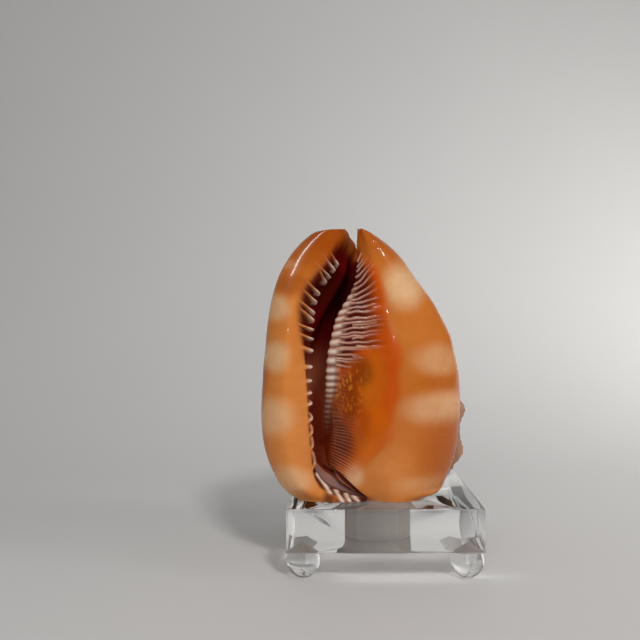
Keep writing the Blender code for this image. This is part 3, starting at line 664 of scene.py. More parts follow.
def shell_surface(settings):
    """The fine grid of the shell with its relief, and the masks that colour it."""
    counts = OUTSIDE_FACES + INSIDE_FACES
    levels = shell_levels(settings)
    grid = np.array([closed_curve(section(level), counts) for level in levels])
    place = np.broadcast_to(stretch_places(counts), grid.shape[:2])
    level = np.broadcast_to(levels[:, None], grid.shape[:2])
    x, z = grid[..., 0].copy(), grid[..., 2].copy()

    # The body whorl's knobs push its sections out sideways, as in the solid
    knobs, turn = knob_height(grid)
    body = (place >= AT_BODY) & (place <= AT_BODY_END)
    middle = np.stack((curve_value(BODY_X, z), curve_value(BODY_Y, z)), 2)
    away = grid[..., :2] - middle
    away /= np.linalg.norm(away, axis=2, keepdims=True)
    grid[..., :2] += away * (knobs * body)[..., None]

    normal = outward(grid)
    step = np.linalg.norm(grid - np.roll(grid, 1, axis=1), axis=2)
    from_end = np.cumsum(step[:, ::-1], axis=1)[:, ::-1]
    inside_by = np.where(place > AT_END - 6, from_end, 0.0)
    lip_side = (place < AT_LIP_EDGE) | (place > AT_END - 4)
    front_side = (place > AT_SHIELD_BACK + 0.5) & (place < AT_ROPE_EDGE + 1)

    # Relief of the lip, the rope and the callus
    teeth, tips, notch, gap = [mask * lip_side for mask in lip_teeth(
        x, level, place, curve_value(TOOTH_EDGE, level), inside_by)]
    relief = -curve_value(NOTCH_DEPTH, level) * notch + settings.tooth_height / MM * teeth
    bars = strongest(*[bar(x, level, ends, BAR_HALF_WIDTH) for ends in CANAL_BARS])
    bars = bars * (place < AT_LIP_EDGE)
    relief += BAR_HEIGHT * bars
    roundness, across, bead = rope(x, level, place, front_side)
    swell = 0.35 + 0.65 * bead * (0.4 + 0.6 * ease(38, 48, level))
    relief += settings.bead_height / MM * roundness * swell
    ridge, short, fan, tan_line, ridged, fanned, fan_left, end_fade = callus(
        x, level, flat_noise(x, z, WANDER), front_side)
    height = settings.ridge_height / MM
    relief += height * (ridge - 0.45 * ridged + 0.5 * short)
    relief += height * (fan - 0.4 * fanned) * (0.25 + 0.55 * fan_left) + TAN_HEIGHT * tan_line
    # The slot is set in by its depth and painted garnet below; the garnet is painted shade of the
    # canal
    slot = (1 - ease(-0.5, 0.3, x - curve_value(SLOT_EDGE, level))) * (1 - ease(12, 14, level))
    slot *= front_side
    relief -= SLOT_DEPTH * slot * ease(1, 4, level)

    # Relief of the back, the healed ring and the gentle waves of the polished front
    back = (ease(AT_LIP_EDGE + 1.0, AT_LIP_EDGE + 2.6, place)
            * (1 - ease(AT_SHIELD_BACK - 0.3, AT_SHIELD_BACK + 0.6, place)))
    relief += back * back_relief(grid, z, turn, level, settings.cord_height / MM)
    ring_x, ring_z, ring_radius, ring_width, ring_height = RING
    from_ring = np.hypot(x - ring_x, level - ring_z)
    relief += ring_height * np.exp(-((from_ring - ring_radius) / ring_width) ** 2) * front_side
    smooth_part = (1 - back) * ease(1.2, 2.2, place) * (place < AT_ROPE_EDGE)
    relief += smooth_part * smooth_noise(grid, *WAVES)
    grid += normal * relief[..., None]

    # Ground colours of the front and of the inside
    inside = ease(AT_ROPE_EDGE + 0.1, AT_ROPE_EDGE + 0.9, place)
    inside *= 1 - ease(AT_END - 0.55, AT_END - 0.05, place)
    shield = front_side & (place < AT_ROPE_EDGE)
    lip_front = place < AT_LIP_EDGE + 1.5
    blur = flat_noise(x, z, BLUR)
    warm = (1 - ease(-2.2, 1.6, x + blur - curve_value(WARM_EDGE, level))) * ease(6, 20, level)
    warm = warm * (1 - ease(88, 99, level)) * shield
    dusk = patches(x + 0.6 * blur, level, DUSK_PATCHES) * shield
    deep = patches(x + blur, level, DEEP_PATCHES) * (shield | lip_front)
    low_beads = roundness * bead * ease(18, 26, level) * (1 - ease(40, 48, level))
    canal = ease(AT_CAVITY_WALL, AT_CAVITY_WALL + 1.2, place) * (1 - ease(9, 20, level))

    # White of the teeth, the rope and the ridges, and the dark between them
    white = ease(37, 47, level) * (1 - ease(76, 86, level))
    rope_white = roundness * (0.15 + 0.85 * bead ** 1.6) * (0.25 + 0.75 * white)
    rope_white *= 1 - 0.7 * ease(0.45, 0.85, across)
    fan_pale = (0.02 + 0.07 * fan_left) * ease(-20.5, -14, x)
    between = roundness * (1 - bead ** 1.5) * ease(36, 44, level) * ease(-0.1, 0.3, across)
    strip = patches(x, level, DARK_STRIP) * front_side
    enamel = strongest(np.clip(tips + bars, 0, 1), rope_white, ridge * (0.14 + 0.4 * end_fade),
                       fan_pale * fan + 0.05 * short + 0.03 * tan_line)
    groove = strongest(gap * (1 - bars) * (1 - ease(97, 104, level)),
                       ridged * (1 - ridge) * (0.25 + 0.75 * end_fade),
                       fanned * (1 - fan) * (0.1 + 0.85 * fan_left),
                       strip * (1 - 0.8 * fan) * (1 - tan_line),
                       # slot: painted shade of the canal, in garnet
                       0.85 * between, slot,
                       patches(x, level, CANAL_DARK) * (1 - bars) * lip_front)

    masks = {
        "back": back, "inside": inside, "enamel": enamel, "groove": np.clip(groove, 0, 1),
        "cream": patches(x, level + blur, CREAM_PATCHES) * (shield | lip_front),
        "warm": np.maximum(warm, inside * ease(91, 96, level)),
        # Painted shade: from about 70 mm up, the dusk mask darkens the inside to garnet
        "dusk": np.maximum(dusk, 0.8 * inside * ease(68, 82, level)),
        # At the lobe's top, the deep mask turns the inside peach: its orange-brown, painted lighter
        # as painted light
        "deep": np.maximum(deep, 0.8 * inside * ease(99, 104, level)),
        "haze": np.maximum(0.9 * canal, 0.5 * low_beads),
        "amber": patches(x + blur, level, AMBER_PATCHES) * shield,
        "gold": patches(x, level, GOLD_PATCHES) * shield,
        "pale": np.maximum(lip_front * (1 - ease(78, 92, level)),
                           patches(x, level, PALE_PATCHES)),
        # low: 1 low down, fading out from 30 to 66 mm; it places the lower inside's painted light
        "knob": np.clip(knobs * body / 3.0, 0, 1), "low": 1 - ease(30, 66, level)}
    return grid, {name: np.broadcast_to(mask, place.shape).astype(float)
                  for name, mask in masks.items()}


def rounded_rim(last, before, opposite):
    """Rings that round the top rim over towards its middle line."""
    across = opposite - last
    width = np.linalg.norm(across, axis=1, keepdims=True)
    across = across / np.maximum(width, 1e-6)
    along = last - before
    along /= np.linalg.norm(along, axis=1, keepdims=True)
    inwards = np.minimum(RIM_RADIUS, 0.42 * width)
    for degrees in RIM_TURNS:
        turn = math.radians(degrees)
        yield last + across * inwards * (1 - math.cos(turn)) + along * RIM_RADIUS * math.sin(turn)


def underside_ring(first, reach):
    """Ring of the underside at a share of the way from its first ring to the spire's tip."""
    radius_first = np.linalg.norm(first[:, :2], axis=1)
    radius = radius_first * (1 - reach)
    spire = SPIRE_TIP + SPIRE_SLOPE * radius
    start = SPIRE_TIP + SPIRE_SLOPE * SPIRE_RADIUS
    out = np.clip((radius - SPIRE_RADIUS) / (radius_first - SPIRE_RADIUS), 0, 1)
    back = (first[:, 2] - SECTION_BOTTOM) / SHOULDER_LIFT
    front_shape = curve_value(((0, start), (0.3, 2.9), (0.6, 2.4), (0.85, CONTACT_GAP),
                               (1, SECTION_BOTTOM)), out)
    back_shape = start + (SECTION_BOTTOM + SHOULDER_LIFT - start) * out ** 0.9
    outward_shape = (1 - back) * front_shape + back * back_shape
    height = np.where(radius < SPIRE_RADIUS, spire, outward_shape)
    return np.column_stack((first[:, 0] * (1 - reach), first[:, 1] * (1 - reach), height))


def zipper(one, other, one_places, other_places):
    """Triangles between two chains of vertex numbers that share their ends."""
    faces = []
    i = j = 0
    while i < len(one) - 1 or j < len(other) - 1:
        step_one = one_places[i + 1] if i < len(one) - 1 else math.inf
        step_other = other_places[j + 1] if j < len(other) - 1 else math.inf
        if step_one <= step_other:
            face = (one[i], one[i + 1], other[j])
            i += 1
        else:
            face = (one[i], other[j + 1], other[j])
            j += 1
        if len(set(face)) == 3:
            faces.append(face)
    return faces


def pair_places():
    """Place of each fine point counted by the pairs that face each other, outside and inside."""
    total = sum(OUTSIDE_PAIRS)
    return (np.append(stretch_places(OUTSIDE_FACES, OUTSIDE_PAIRS), total),
            np.append(stretch_places(INSIDE_FACES, INSIDE_PAIRS), total))


def to_model(points):
    """Points of the shell's frame, in millimetres, as points of the model, in metres."""
    return np.asarray(points) * MM + np.array((HOLE_X, HOLE_Y, BLOCK_TOP))


def shell_mesh(settings):
    """The shell as one closed mesh, with the masks as attributes of its points."""
    grid, masks = shell_surface(settings)
    rows, size = grid.shape[:2]
    outer = sum(OUTSIDE_FACES)
    out_places, in_places = pair_places()
    points = [grid.reshape(-1, 3)]
    paint = {name: [mask.ravel()] for name, mask in masks.items()}
    numbers = np.arange(rows * size).reshape(rows, size)
    loops = list(numbers)
    used = rows * size

    # The top rim, rounded over and closed across
    total = sum(OUTSIDE_PAIRS)
    ring_places = np.concatenate((out_places[:-1], total + in_places[:-1]))
    wrapped = np.append(ring_places, 2 * total)
    closed = np.vstack((grid[-1], grid[-1][:1]))
    facing = 2 * total - ring_places
    opposite = np.column_stack([np.interp(facing, wrapped, closed[:, k]) for k in range(3)])
    for ring in rounded_rim(grid[-1], grid[-2], opposite):
        points.append(ring)
        for name, mask in masks.items():
            paint[name].append(mask[-1])
        loops.append(np.arange(used, used + size))
        used += size
    faces = []
    for low, high in zip(loops, loops[1:]):
        faces += list(zip(low, np.roll(low, -1), np.roll(high, -1), high))
    top = loops[-1]
    outside_chain = list(top[:outer + 1])
    inside_chain = [top[0]] + list(top[:outer - 1:-1])
    inside_places = total - in_places[::-1]
    faces += zipper(outside_chain, inside_chain, out_places, inside_places)

    # The cavity's floor, closed across from the core to the outer wall
    bottom = loops[0]
    floor = list(bottom[outer:]) + [bottom[0]]
    half = int(np.searchsorted(in_places, total / 2))
    core_chain = floor[:half + 1]
    wall_chain = floor[:half - 1:-1]
    faces += zipper([floor[0]] + wall_chain, core_chain,
                    np.concatenate(([0], total - in_places[:half - 1:-1])), in_places[:half + 1])

    # The underside, in to the tip of the spire
    first = grid[0][:outer + 1]
    ring = bottom[:outer + 1]
    wide = outer + 1
    for step in range(1, UNDERSIDE_RINGS):
        reach = (step / UNDERSIDE_RINGS) ** 1.15
        points.append(underside_ring(first, reach))
        fade = 1 - ease(0.0, 0.2, reach)
        for name, mask in masks.items():
            end_value = 1.0 if name == "back" else 0.0
            paint[name].append(mask[0][:wide] * fade + end_value * (1 - fade))
        inner_ring = np.arange(used, used + wide)
        used += wide
        faces += list(zip(np.roll(ring, -1), ring, inner_ring, np.roll(inner_ring, -1)))
        ring = inner_ring
    points.append(np.array([(0, 0, SPIRE_TIP)]))
    for name in masks:
        paint[name].append([1.0 if name == "back" else 0.0])
    faces += [(b, a, used) for a, b in zip(ring, np.roll(ring, -1))]

    mesh = bpy.data.meshes.new("shell")
    mesh.from_pydata(to_model(np.concatenate(points)).tolist(), [],
                     [tuple(int(i) for i in face) for face in faces])
    for name, parts in paint.items():
        values = mesh.attributes.new(name, "FLOAT", "POINT")
        values.data.foreach_set("value", np.concatenate(parts).astype(np.float32))
    close_check(mesh)
    mesh.shade_smooth()
    return mesh


def close_check(mesh):
    """Turn the faces outwards, and stop if the mesh isn't closed."""
    bm = bmesh.new()
    bm.from_mesh(mesh)
    bmesh.ops.recalc_face_normals(bm, faces=bm.faces)
    if any(not edge.is_manifold for edge in bm.edges):
        raise RuntimeError("the mesh {} isn't closed".format(mesh.name))
    bm.to_mesh(mesh)
    bm.free()


def feed(tree, socket, value):
    """Give a socket a link, or a value of its own."""
    if isinstance(value, bpy.types.NodeSocket):
        tree.links.new(value, socket)
    elif socket.type == "RGBA":
        socket.default_value = (*value, 1.0)
    else:
        socket.default_value = value


def node(tree, kind, inputs=None, **settings):
    """Add a shader node, set it, and give each input, by name or number, its value or link."""
    made = tree.nodes.new("ShaderNode" + kind)
    for name, value in settings.items():
        setattr(made, name, value)
    for name, value in (inputs or {}).items():
        feed(tree, made.inputs[name], value)
    return made


def mix(tree, factor, first, second):
    """Colour between two colours, by a factor; each is a value or a link."""
    return node(tree, "Mix", {0: factor, 6: first, 7: second}, data_type="RGBA").outputs[2]


def calc(tree, operation, *values, clamp=False):
    """Result of a math node on values or links."""
    return node(tree, "Math", dict(enumerate(values)), operation=operation,
                use_clamp=clamp).outputs[0]


def times(tree, first, second, clamp=False):
    """Product of two values or links."""
    return calc(tree, "MULTIPLY", first, second, clamp=clamp)


def attribute(tree, name):
    """A mask of the mesh, as a value."""
    return node(tree, "Attribute", attribute_name=name).outputs["Fac"]


def new_group(name, inputs, outputs):
    """A shader node group with named inputs and outputs, and its two end nodes."""
    group = bpy.data.node_groups.new(name, "ShaderNodeTree")
    for label, kind, default in inputs:
        socket = group.interface.new_socket(label, in_out="INPUT", socket_type=kind)
        if default is not None:
            socket.default_value = default
    for label, kind in outputs:
        group.interface.new_socket(label, in_out="OUTPUT", socket_type=kind)
    return group, group.nodes.new("NodeGroupInput"), group.nodes.new("NodeGroupOutput")


def clouding_group():
    """Soft clouds of a size given by Scale, between 0 and 1, sharpened by Contrast."""
    name = "clouding"
    if name in bpy.data.node_groups:
        return bpy.data.node_groups[name]
    group, given, result = new_group(
        name,
        (("Vector", "NodeSocketVector", None), ("Scale", "NodeSocketFloat", 30.0),
         ("Detail", "NodeSocketFloat", 3.0), ("Warp", "NodeSocketFloat", 0.5),
         ("Contrast", "NodeSocketFloat", 2.0)),
        (("Value", "NodeSocketFloat"),))
    noise = node(group, "TexNoise", {"Vector": given.outputs["Vector"],
                                     "Scale": given.outputs["Scale"],
                                     "Detail": given.outputs["Detail"],
                                     "Distortion": given.outputs["Warp"]})
    centred = calc(group, "SUBTRACT", noise.outputs["Fac"], 0.5)
    raised = times(group, centred, given.outputs["Contrast"])
    value = calc(group, "ADD", raised, 0.5, clamp=True)
    group.links.new(value, result.inputs["Value"])
    return group


def hairline_group():
    """Mask of fine straight scratches in two directions."""
    name = "hairlines"
    if name in bpy.data.node_groups:
        return bpy.data.node_groups[name]
    group, given, result = new_group(
        name,
        (("Vector", "NodeSocketVector", None), ("Scale", "NodeSocketFloat", 400.0),
         ("Stretch", "NodeSocketFloat", 0.04), ("Amount", "NodeSocketFloat", 0.3)),
        (("Mask", "NodeSocketFloat"),))
    masks = []
    for turn in (0.5, -0.9):
        squeeze = node(group, "CombineXYZ", {"X": given.outputs["Stretch"], "Y": 1.0, "Z": 1.0})
        laid = node(group, "Mapping", {"Vector": given.outputs["Vector"],
                                       "Rotation": (0.3, turn, turn),
                                       "Scale": squeeze.outputs[0]})
        noise = node(group, "TexNoise", {"Vector": laid.outputs[0],
                                         "Scale": given.outputs["Scale"], "Detail": 1.0})
        masks.append(calc(group, "GREATER_THAN", noise.outputs["Fac"], 0.68))
    kept = times(group, calc(group, "MAXIMUM", *masks), given.outputs["Amount"])
    group.links.new(kept, result.inputs["Mask"])
    return group


def use_group(tree, group, inputs):
    """First output of a node group placed in a tree with its own values."""
    return node(tree, "Group", inputs, node_tree=group).outputs[0]


def clouds(tree, vector, scale, detail, warp, contrast):
    """Value of the clouding group with its own size."""
    return use_group(tree, clouding_group(), {"Vector": vector, "Scale": scale, "Detail": detail,
                                              "Warp": warp, "Contrast": contrast})


def stretched(tree, vector, height_scale):
    """Coordinates scaled in height, for clouds that are flattened or drawn out."""
    return node(tree, "Mapping", {"Vector": vector, "Scale": (1.0, 1.0, height_scale)}).outputs[0]


def new_material(name):
    """An empty node material with its shader and its object coordinates."""
    material = bpy.data.materials.new(name)
    material.use_nodes = True
    tree = material.node_tree
    shader = tree.nodes["Principled BSDF"]
    vector = node(tree, "TexCoord").outputs["Object"]
    return material, tree, shader, vector


def arrange(tree):
    """Lay the nodes out in columns, by how many steps they are from the end."""
    depth = {item: 0 for item in tree.nodes}
    for _ in range(len(tree.nodes)):
        moved = False
        for link in tree.links:
            wanted = depth[link.to_node] + 1
            if depth[link.from_node] < wanted:
                depth[link.from_node] = wanted
                moved = True
        if not moved:
            break
    rows = {}
    for item, column in depth.items():
        rows[column] = rows.get(column, 0) + 1
        item.location = (-220 * column, -190 * rows[column])


def front_color(tree, vector, settings):
    """Colour of the polished front: lip, shield and callus."""
    broad = calc(tree, "MULTIPLY_ADD", clouds(tree, vector, 38.0, 3.0, 0.6, 2.2), 0.4,
                 times(tree, attribute(tree, "pale"), 0.75), clamp=True)
    fine = clouds(tree, vector, 130.0, 4.0, 0.8, 1.6)
    veins = clouds(tree, stretched(tree, vector, 2.6), 90.0, 2.0, 0.4, 2.0)
    ground = mix(tree, broad, settings.peach, settings.apricot)
    ground = mix(tree, times(tree, veins, 0.35), ground, settings.peach)
    cream_by = times(tree, attribute(tree, "cream"),
                     calc(tree, "MULTIPLY_ADD", fine, 0.3, 0.75), clamp=True)
    ground = mix(tree, attribute(tree, "deep"), ground, settings.ginger)
    color = mix(tree, cream_by, ground, settings.cream)
    ember = mix(tree, times(tree, attribute(tree, "amber"), 0.9), settings.ember,
                settings.amber)
    ember = mix(tree, times(tree, fine, 0.25), ember, settings.peach)
    smoke = clouds(tree, stretched(tree, vector, 0.45), 150.0, 2.0, 0.5, 3.0)
    ember = mix(tree, times(tree, smoke, 0.3), ember, settings.ginger)
    color = mix(tree, attribute(tree, "warm"), color, ember)
    dusk_by = times(tree, attribute(tree, "dusk"),
                    calc(tree, "MULTIPLY_ADD", fine, 0.4, 0.62), clamp=True)
    color = mix(tree, dusk_by, color, settings.umber)
    flecks = node(tree, "TexVoronoi", {"Vector": stretched(tree, vector, 0.5), "Scale": 760.0})
    fleck = calc(tree, "MULTIPLY_ADD", flecks.outputs["Distance"], -5.0, 2.75, clamp=True)
    patchy = clouds(tree, vector, 330.0, 2.0, 0.2, 2.6)
    fleck = times(tree, times(tree, fleck, patchy), attribute(tree, "gold"))
    color = mix(tree, fleck, color, settings.gold)
    color = mix(tree, attribute(tree, "groove"), color, settings.garnet)
    enamel = mix(tree, times(tree, fine, 0.35), settings.enamel, settings.cream)
    return mix(tree, attribute(tree, "enamel"), color, enamel), fine


def back_color(tree, vector, settings):
    """Colour of the rough back: brick red with dark and pale clouds and paler knobs."""
    broad = clouds(tree, vector, 60.0, 4.0, 0.5, 2.4)
    pale = clouds(tree, vector, 85.0, 3.0, 0.5, 3.0)
    specks = clouds(tree, vector, 480.0, 3.0, 0.5, 3.0)
    color = mix(tree, broad, settings.brick, settings.chestnut)
    color = mix(tree, times(tree, pale, 0.6), color, settings.oat)
    color = mix(tree, times(tree, specks, 0.25), color, settings.apricot)
    crown = times(tree, attribute(tree, "knob"),
                  calc(tree, "MULTIPLY_ADD", specks, 0.4, 0.55), clamp=True)
    return mix(tree, crown, color, settings.oat), specks


def shell_material(settings):
    """Glossy porcelain front, dark aperture with painted light low down and at the lobe's top and
    painted shade between, and rough, mottled back.
    """
    material, tree, shader, vector = new_material("polished_shell")
    front, fine = front_color(tree, vector, settings)
    # Painted light: the lower inside is painted much lighter than the maroon above it
    inner = mix(tree, attribute(tree, "low"), settings.maroon, settings.lower_inside_painted_light)
    inner = mix(tree, times(tree, fine, 0.3), inner, settings.maroon)
    # Painted shade: garnet darkens the inside from about 70 mm up, until the maroon returns above
    # 91 mm
    inner = mix(tree, attribute(tree, "dusk"), inner, settings.garnet)
    inner = mix(tree, attribute(tree, "warm"), inner, settings.maroon)
    inner = mix(tree, attribute(tree, "haze"), inner, settings.lilac)
    # Painted light: the inside at the lobe's top is painted peach, lighter than its orange-brown
    inner = mix(tree, attribute(tree, "deep"), inner, settings.peach)
    color = mix(tree, attribute(tree, "inside"), front, inner)
    back, specks = back_color(tree, vector, settings)
    back_by = attribute(tree, "back")
    color = mix(tree, back_by, color, back)
    tree.links.new(color, shader.inputs["Base Color"])
    rough = calc(tree, "MULTIPLY_ADD", fine, 0.08, 0.24)
    rough = calc(tree, "ADD", rough, times(tree, back_by, 0.22))
    rough = calc(tree, "ADD", rough, times(tree, attribute(tree, "inside"), 0.25))
    tree.links.new(rough, shader.inputs["Roughness"])
    polished = calc(tree, "MULTIPLY_ADD", attribute(tree, "inside"), -0.42, 0.42)
    coat = calc(tree, "MULTIPLY_ADD", back_by, -0.36, polished, clamp=True)
    tree.links.new(coat, shader.inputs["Coat Weight"])
    shader.inputs["Coat Roughness"].default_value = 0.035
    shader.inputs["Coat IOR"].default_value = 1.4
    shader.inputs["Specular IOR Level"].default_value = 0.12
    grain = times(tree, specks, calc(tree, "MULTIPLY_ADD", back_by, 0.9, 0.02))
    bump = node(tree, "Bump", {"Height": grain, "Strength": 0.6, "Distance": 0.3 * MM})
    tree.links.new(bump.outputs[0], shader.inputs["Normal"])
    arrange(tree)
    return material


def acrylic_material(name, settings):
    """Clear acrylic, polished or ground, with faint hairlines and clouds of polish."""
    rough, wear, passing, through, shade = ACRYLICS[name]
    material, tree, shader, vector = new_material(name)
    lines = use_group(tree, hairline_group(), {"Vector": vector, "Scale": 700.0, "Amount": wear})
    cloudy = clouds(tree, vector, 140.0, 3.0, 0.4, 2.0)
    # Ground and drilled faces take their grey-brown as base colour: painted shade
    tint = settings.tint if through == 1.0 else tuple(0.85 * c for c in shade)
    tint = mix(tree, times(tree, cloudy, 0.5), tint, shade)
    tree.links.new(tint, shader.inputs["Base Color"])
    value = calc(tree, "MULTIPLY_ADD", cloudy, 0.25 * rough + 0.004, rough)
    value = calc(tree, "ADD", value, times(tree, lines, 0.12))
    tree.links.new(value, shader.inputs["Roughness"])
    shader.inputs["IOR"].default_value = 1.49
    shader.inputs["Transmission Weight"].default_value = through
    if rough > 0.1:
        bump = node(tree, "Bump", {"Height": cloudy, "Strength": rough, "Distance": 0.05 * MM})
        tree.links.new(bump.outputs[0], shader.inputs["Normal"])
    # The lamps' light that the face lets through to what lies behind it
    clear = tree.nodes.new("ShaderNodeBsdfTransparent")
    clear.inputs[0].default_value = (passing, passing, passing, 1)
    both = tree.nodes.new("ShaderNodeMixShader")
    tree.links.new(tree.nodes.new("ShaderNodeLightPath").outputs["Is Shadow Ray"], both.inputs[0])
    tree.links.new(shader.outputs[0], both.inputs[1])
    tree.links.new(clear.outputs[0], both.inputs[2])
    tree.links.new(both.outputs[0], tree.nodes["Material Output"].inputs["Surface"])
    arrange(tree)
    return material


def paper_material(settings):
    """Matte, very slightly mottled paper of the floor and backdrop."""
    material, tree, shader, vector = new_material("paper")
    broad = clouds(tree, vector, 3.0, 2.0, 0.3, 1.2)
    grain = clouds(tree, vector, 900.0, 3.0, 0.0, 1.5)
    darker = tuple(0.93 * c for c in settings.paper)
    color = mix(tree, times(tree, broad, 0.6), settings.paper, darker)
    color = mix(tree, times(tree, grain, 0.15), color, darker)
    tree.links.new(color, shader.inputs["Base Color"])
    tree.links.new(calc(tree, "MULTIPLY_ADD", grain, 0.1, 0.55), shader.inputs["Roughness"])
    bump = node(tree, "Bump", {"Height": grain, "Strength": 0.15, "Distance": 0.1 * MM})
    tree.links.new(bump.outputs[0], shader.inputs["Normal"])
    arrange(tree)
    return material


def nothing_selected():
    """Leave object mode with nothing selected, so that an operator acts only on its own piece."""
    if bpy.context.mode != "OBJECT":
        bpy.ops.object.mode_set(mode="OBJECT")
    bpy.ops.object.select_all(action="DESELECT")


def choose(thing):
    """Select one piece alone and make it the active one."""
    nothing_selected()
    thing.select_set(True)
    bpy.context.view_layer.objects.active = thing


def settle(thing):
    """Put a piece's place in its mesh, so that its object stands at the origin."""
    choose(thing)
    bpy.ops.object.transform_apply(location=True, rotation=True, scale=True)


def cut_away(thing, tool):
    """Cut a tool's shape out of a piece and remove the tool."""
    choose(thing)
    cut = thing.modifiers.new("cut", "BOOLEAN")
    cut.object = tool
    cut.operation = "DIFFERENCE"
    cut.solver = "EXACT"
    bpy.ops.object.modifier_apply(modifier=cut.name)
    bpy.data.objects.remove(tool, do_unlink=True)


def block_piece(settings):
    """The clear block with its round hole and a conical socket over each foot."""
    low, high = BLOCK_LOW, BLOCK_HIGH
    size = [float(high[k] - low[k]) for k in range(3)]
    middle = [float(high[k] + low[k]) / 2 for k in range(3)]
    nothing_selected()
    bpy.ops.mesh.primitive_cube_add(size=1.0, location=middle)
    block = bpy.context.object
    block.name = block.data.name = "clear_block"
    bpy.ops.object.mode_set(mode="EDIT")
    bpy.ops.mesh.select_all(action="SELECT")
    bpy.ops.transform.resize(value=size)
    bpy.ops.mesh.bevel(offset=settings.edge_round, segments=3, profile=0.5)
    bpy.ops.object.mode_set(mode="OBJECT")
    settle(block)

    bpy.ops.mesh.primitive_cylinder_add(vertices=128, radius=settings.hole_diameter / 2,
                                        depth=2 * size[2], location=(HOLE_X, HOLE_Y, middle[2]))
    cut_away(block, bpy.context.object)
    below = 2.0 * MM
    depth = settings.socket_diameter / 2 / math.tan(settings.socket_half_angle)
    wide = (depth + below) * math.tan(settings.socket_half_angle)
    for name in FEET:
        x, y = foot_middle(name)
        nothing_selected()
        bpy.ops.mesh.primitive_cone_add(vertices=64, radius1=wide, radius2=0.0, depth=depth + below,
                                        location=(x, y, low[2] + (depth - below) / 2))
        cut_away(block, bpy.context.object)

    for name in ("clear_acrylic", "ground_acrylic", "drilled_acrylic", "side_acrylic"):
        block.data.materials.append(acrylic_material(name, settings))
    hole, sockets, sides = 1, 2, 3
    margin = 0.1 * MM
    for face in block.data.polygons:
        from_axis = math.hypot(face.center.x - HOLE_X, face.center.y - HOLE_Y)
        flat = abs(face.normal.z) > 0.99
        if from_axis < settings.hole_diameter / 2 + margin and not flat:
            face.material_index = hole
        elif low[2] + margin < face.center.z < high[2] - margin and -0.99 < face.normal.z < -0.2:
            face.material_index = sockets
        elif abs(face.normal.z) < 0.5:
            face.material_index = sides
        face.use_smooth = face.material_index in (hole, sockets)
    block.data.set_sharp_from_angle(angle=math.radians(35))
    return block


def foot_middle(name):
    """Place of a foot's middle over the floor, from its solid."""
    low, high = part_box(name)
    return (float(low[0] + high[0]) / 2, float(low[1] + high[1]) / 2)


def foot_piece(name, settings, material):
    """A clear ball with a small flat under it to stand on."""
    x, y = foot_middle(name)
    radius = settings.ball_diameter / 2
    drop = math.sqrt(radius ** 2 - (settings.ball_flat / 2) ** 2)
    nothing_selected()
    bpy.ops.mesh.primitive_uv_sphere_add(segments=64, ring_count=32, radius=radius,
                                         location=(x, y, drop))
    ball = bpy.context.object
    ball.name = ball.data.name = name.replace("foot", "ball")
    settle(ball)
    bpy.ops.object.mode_set(mode="EDIT")
    bpy.ops.mesh.select_all(action="SELECT")
    bpy.ops.mesh.bisect(plane_co=(x, y, 0.0), plane_no=(0, 0, -1), clear_outer=True, use_fill=True,
                        threshold=0.001 * MM)
    bpy.ops.object.mode_set(mode="OBJECT")
    ball.data.materials.append(material)
    ball.data.shade_smooth()
    ball.data.set_sharp_from_angle(angle=math.radians(40))
    return ball


def select_far_edge(sheet):
    """Select the floor's far edge alone, in edit mode."""
    bpy.ops.object.mode_set(mode="OBJECT")
    for edge in sheet.data.edges:
        ends = [sheet.data.vertices[v].co for v in edge.vertices]
        edge.select = all(end.y > FAR - MM and end.z < MM for end in ends)
    bpy.ops.object.mode_set(mode="EDIT")


def floor_piece(settings):
    """Floor and backdrop in one sheet, with a wide curve between them."""
    nothing_selected()
    bpy.ops.mesh.primitive_plane_add(size=1.0, location=(0, (NEAR + FAR) / 2, 0))
    sheet = bpy.context.object
    sheet.name = sheet.data.name = "floor"
    bpy.ops.object.mode_set(mode="EDIT")
    bpy.ops.transform.resize(value=(2 * SIDE, FAR - NEAR, 1))
    bpy.ops.mesh.select_mode(type="EDGE")
    bpy.ops.mesh.select_all(action="DESELECT")
    bpy.ops.object.mode_set(mode="OBJECT")
    settle(sheet)
    select_far_edge(sheet)
    bpy.ops.mesh.extrude_region_move(TRANSFORM_OT_translate={"value": (0, 0, TALL)})
    select_far_edge(sheet)
    bpy.ops.mesh.bevel(offset=BEND, segments=24, profile=0.5)
    bpy.ops.object.mode_set(mode="OBJECT")
    sheet.data.shade_smooth()
    sheet.data.materials.append(paper_material(settings))
    return sheet


def area_light(name, power):
    """A rectangular light from the table, turned to its target."""
    place, target, size, unseen_by = LAMPS[name]
    data = bpy.data.lights.new(name, "AREA")
    data.shape = "RECTANGLE"
    data.size, data.size_y = size
    data.energy = power
    lamp = bpy.data.objects.new(name, data)
    bpy.context.scene.collection.objects.link(lamp)
    lamp.location = place
    lamp.rotation_euler = (Vector(place) - Vector(target)).to_track_quat("Z", "Y").to_euler()
    setattr(lamp, "visible_" + unseen_by, False)
    return lamp


class HELMET_OT_shell(bpy.types.Operator):
    """Build the shell from the tooth edge round to the columella"""
    bl_idname = "helmet.shell"
    bl_label = "Shell"

    def execute(self, context):
        settings = context.scene.helmet_shell
        shell = bpy.data.objects.new("helmet_shell", shell_mesh(settings))
        context.scene.collection.objects.link(shell)
        shell.data.materials.append(shell_material(settings))
        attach(shell, "root")
        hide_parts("shell")
        return {"FINISHED"}


class HELMET_OT_block(bpy.types.Operator):
    """Build the clear block with its hole and sockets"""
    bl_idname = "helmet.block"
    bl_label = "Block"

    def execute(self, context):
        block = block_piece(context.scene.helmet_block)
        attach(block, "root")
        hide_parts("block")
        return {"FINISHED"}


class HELMET_OT_feet(bpy.types.Operator):
    """Build the four ball feet"""
    bl_idname = "helmet.feet"
    bl_label = "Ball feet"

    def execute(self, context):
        settings = context.scene.helmet_block
        material = acrylic_material("ball_acrylic", settings)
        for name in FEET:
            ball = foot_piece(name, settings, material)
            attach(ball, "root")
            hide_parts(name)
        return {"FINISHED"}


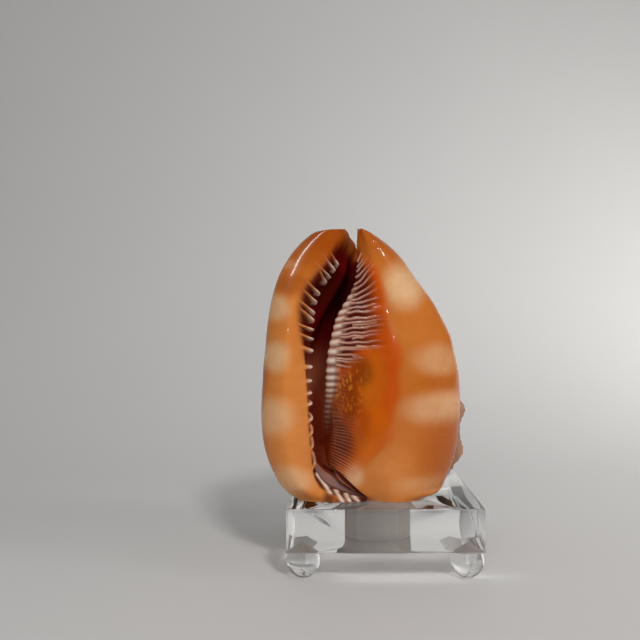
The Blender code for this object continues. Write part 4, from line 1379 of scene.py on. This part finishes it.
class HELMET_OT_stage(bpy.types.Operator):
    """Build the floor, the lights and the camera"""
    bl_idname = "helmet.stage"
    bl_label = "Stage"

    def execute(self, context):
        settings = context.scene.helmet_stage
        floor_piece(settings)
        scene = context.scene
        world = bpy.data.worlds.new("studio")
        world.use_nodes = True
        sky = world.node_tree.nodes["Background"]
        sky.inputs["Color"].default_value = SKY_COLOR
        sky.inputs["Strength"].default_value = settings.sky
        scene.world = world
        world.cycles_visibility.glossy = False
        lamps = {name: area_light(name, getattr(settings, name)) for name in LAMPS}
        lamps["wall"].data.spread = WALL_SPREAD
        camera_data = bpy.data.cameras.new("camera")
        camera = bpy.data.objects.new("camera", camera_data)
        scene.collection.objects.link(camera)
        camera.location = CAMERA_PLACE
        camera.rotation_euler = (math.radians(90), 0, 0)
        camera_data.lens = settings.lens
        camera_data.sensor_width = 36.0
        camera_data.shift_x, camera_data.shift_y = CAMERA_SHIFT
        camera_data.clip_start = CAMERA_CLIP
        scene.camera = camera
        scene.view_settings.view_transform = "Standard"
        return {"FINISHED"}


class HELMET_PT_sidebar(bpy.types.Panel):
    """Panel with the settings and the buttons that build each piece"""
    bl_idname = "HELMET_PT_sidebar"
    bl_label = "Helmet Shell"
    bl_space_type = "VIEW_3D"
    bl_region_type = "UI"
    bl_category = "Helmet Shell"

    def draw(self, context):
        for operator, group in ((HELMET_OT_shell, "helmet_shell"),
                                (HELMET_OT_block, "helmet_block"),
                                (HELMET_OT_feet, None), (HELMET_OT_stage, "helmet_stage")):
            box = self.layout.box()
            box.operator(operator.bl_idname)
            if group:
                settings = getattr(context.scene, group)
                for name in settings.__annotations__:
                    box.prop(settings, name)


CLASSES = (ShellSettings, BlockSettings, StageSettings, HELMET_OT_shell, HELMET_OT_block,
           HELMET_OT_feet, HELMET_OT_stage, HELMET_PT_sidebar)


def register():
    for item in CLASSES:
        bpy.utils.register_class(item)
    bpy.types.Scene.helmet_shell = PointerProperty(type=ShellSettings)
    bpy.types.Scene.helmet_block = PointerProperty(type=BlockSettings)
    bpy.types.Scene.helmet_stage = PointerProperty(type=StageSettings)


def unregister():
    del bpy.types.Scene.helmet_stage
    del bpy.types.Scene.helmet_block
    del bpy.types.Scene.helmet_shell
    for item in reversed(CLASSES):
        bpy.utils.unregister_class(item)


def main():
    register()
    bpy.ops.helmet.stage()
    bpy.ops.helmet.shell()
    bpy.ops.helmet.block()
    bpy.ops.helmet.feet()


if __name__ == "__main__":
    main()
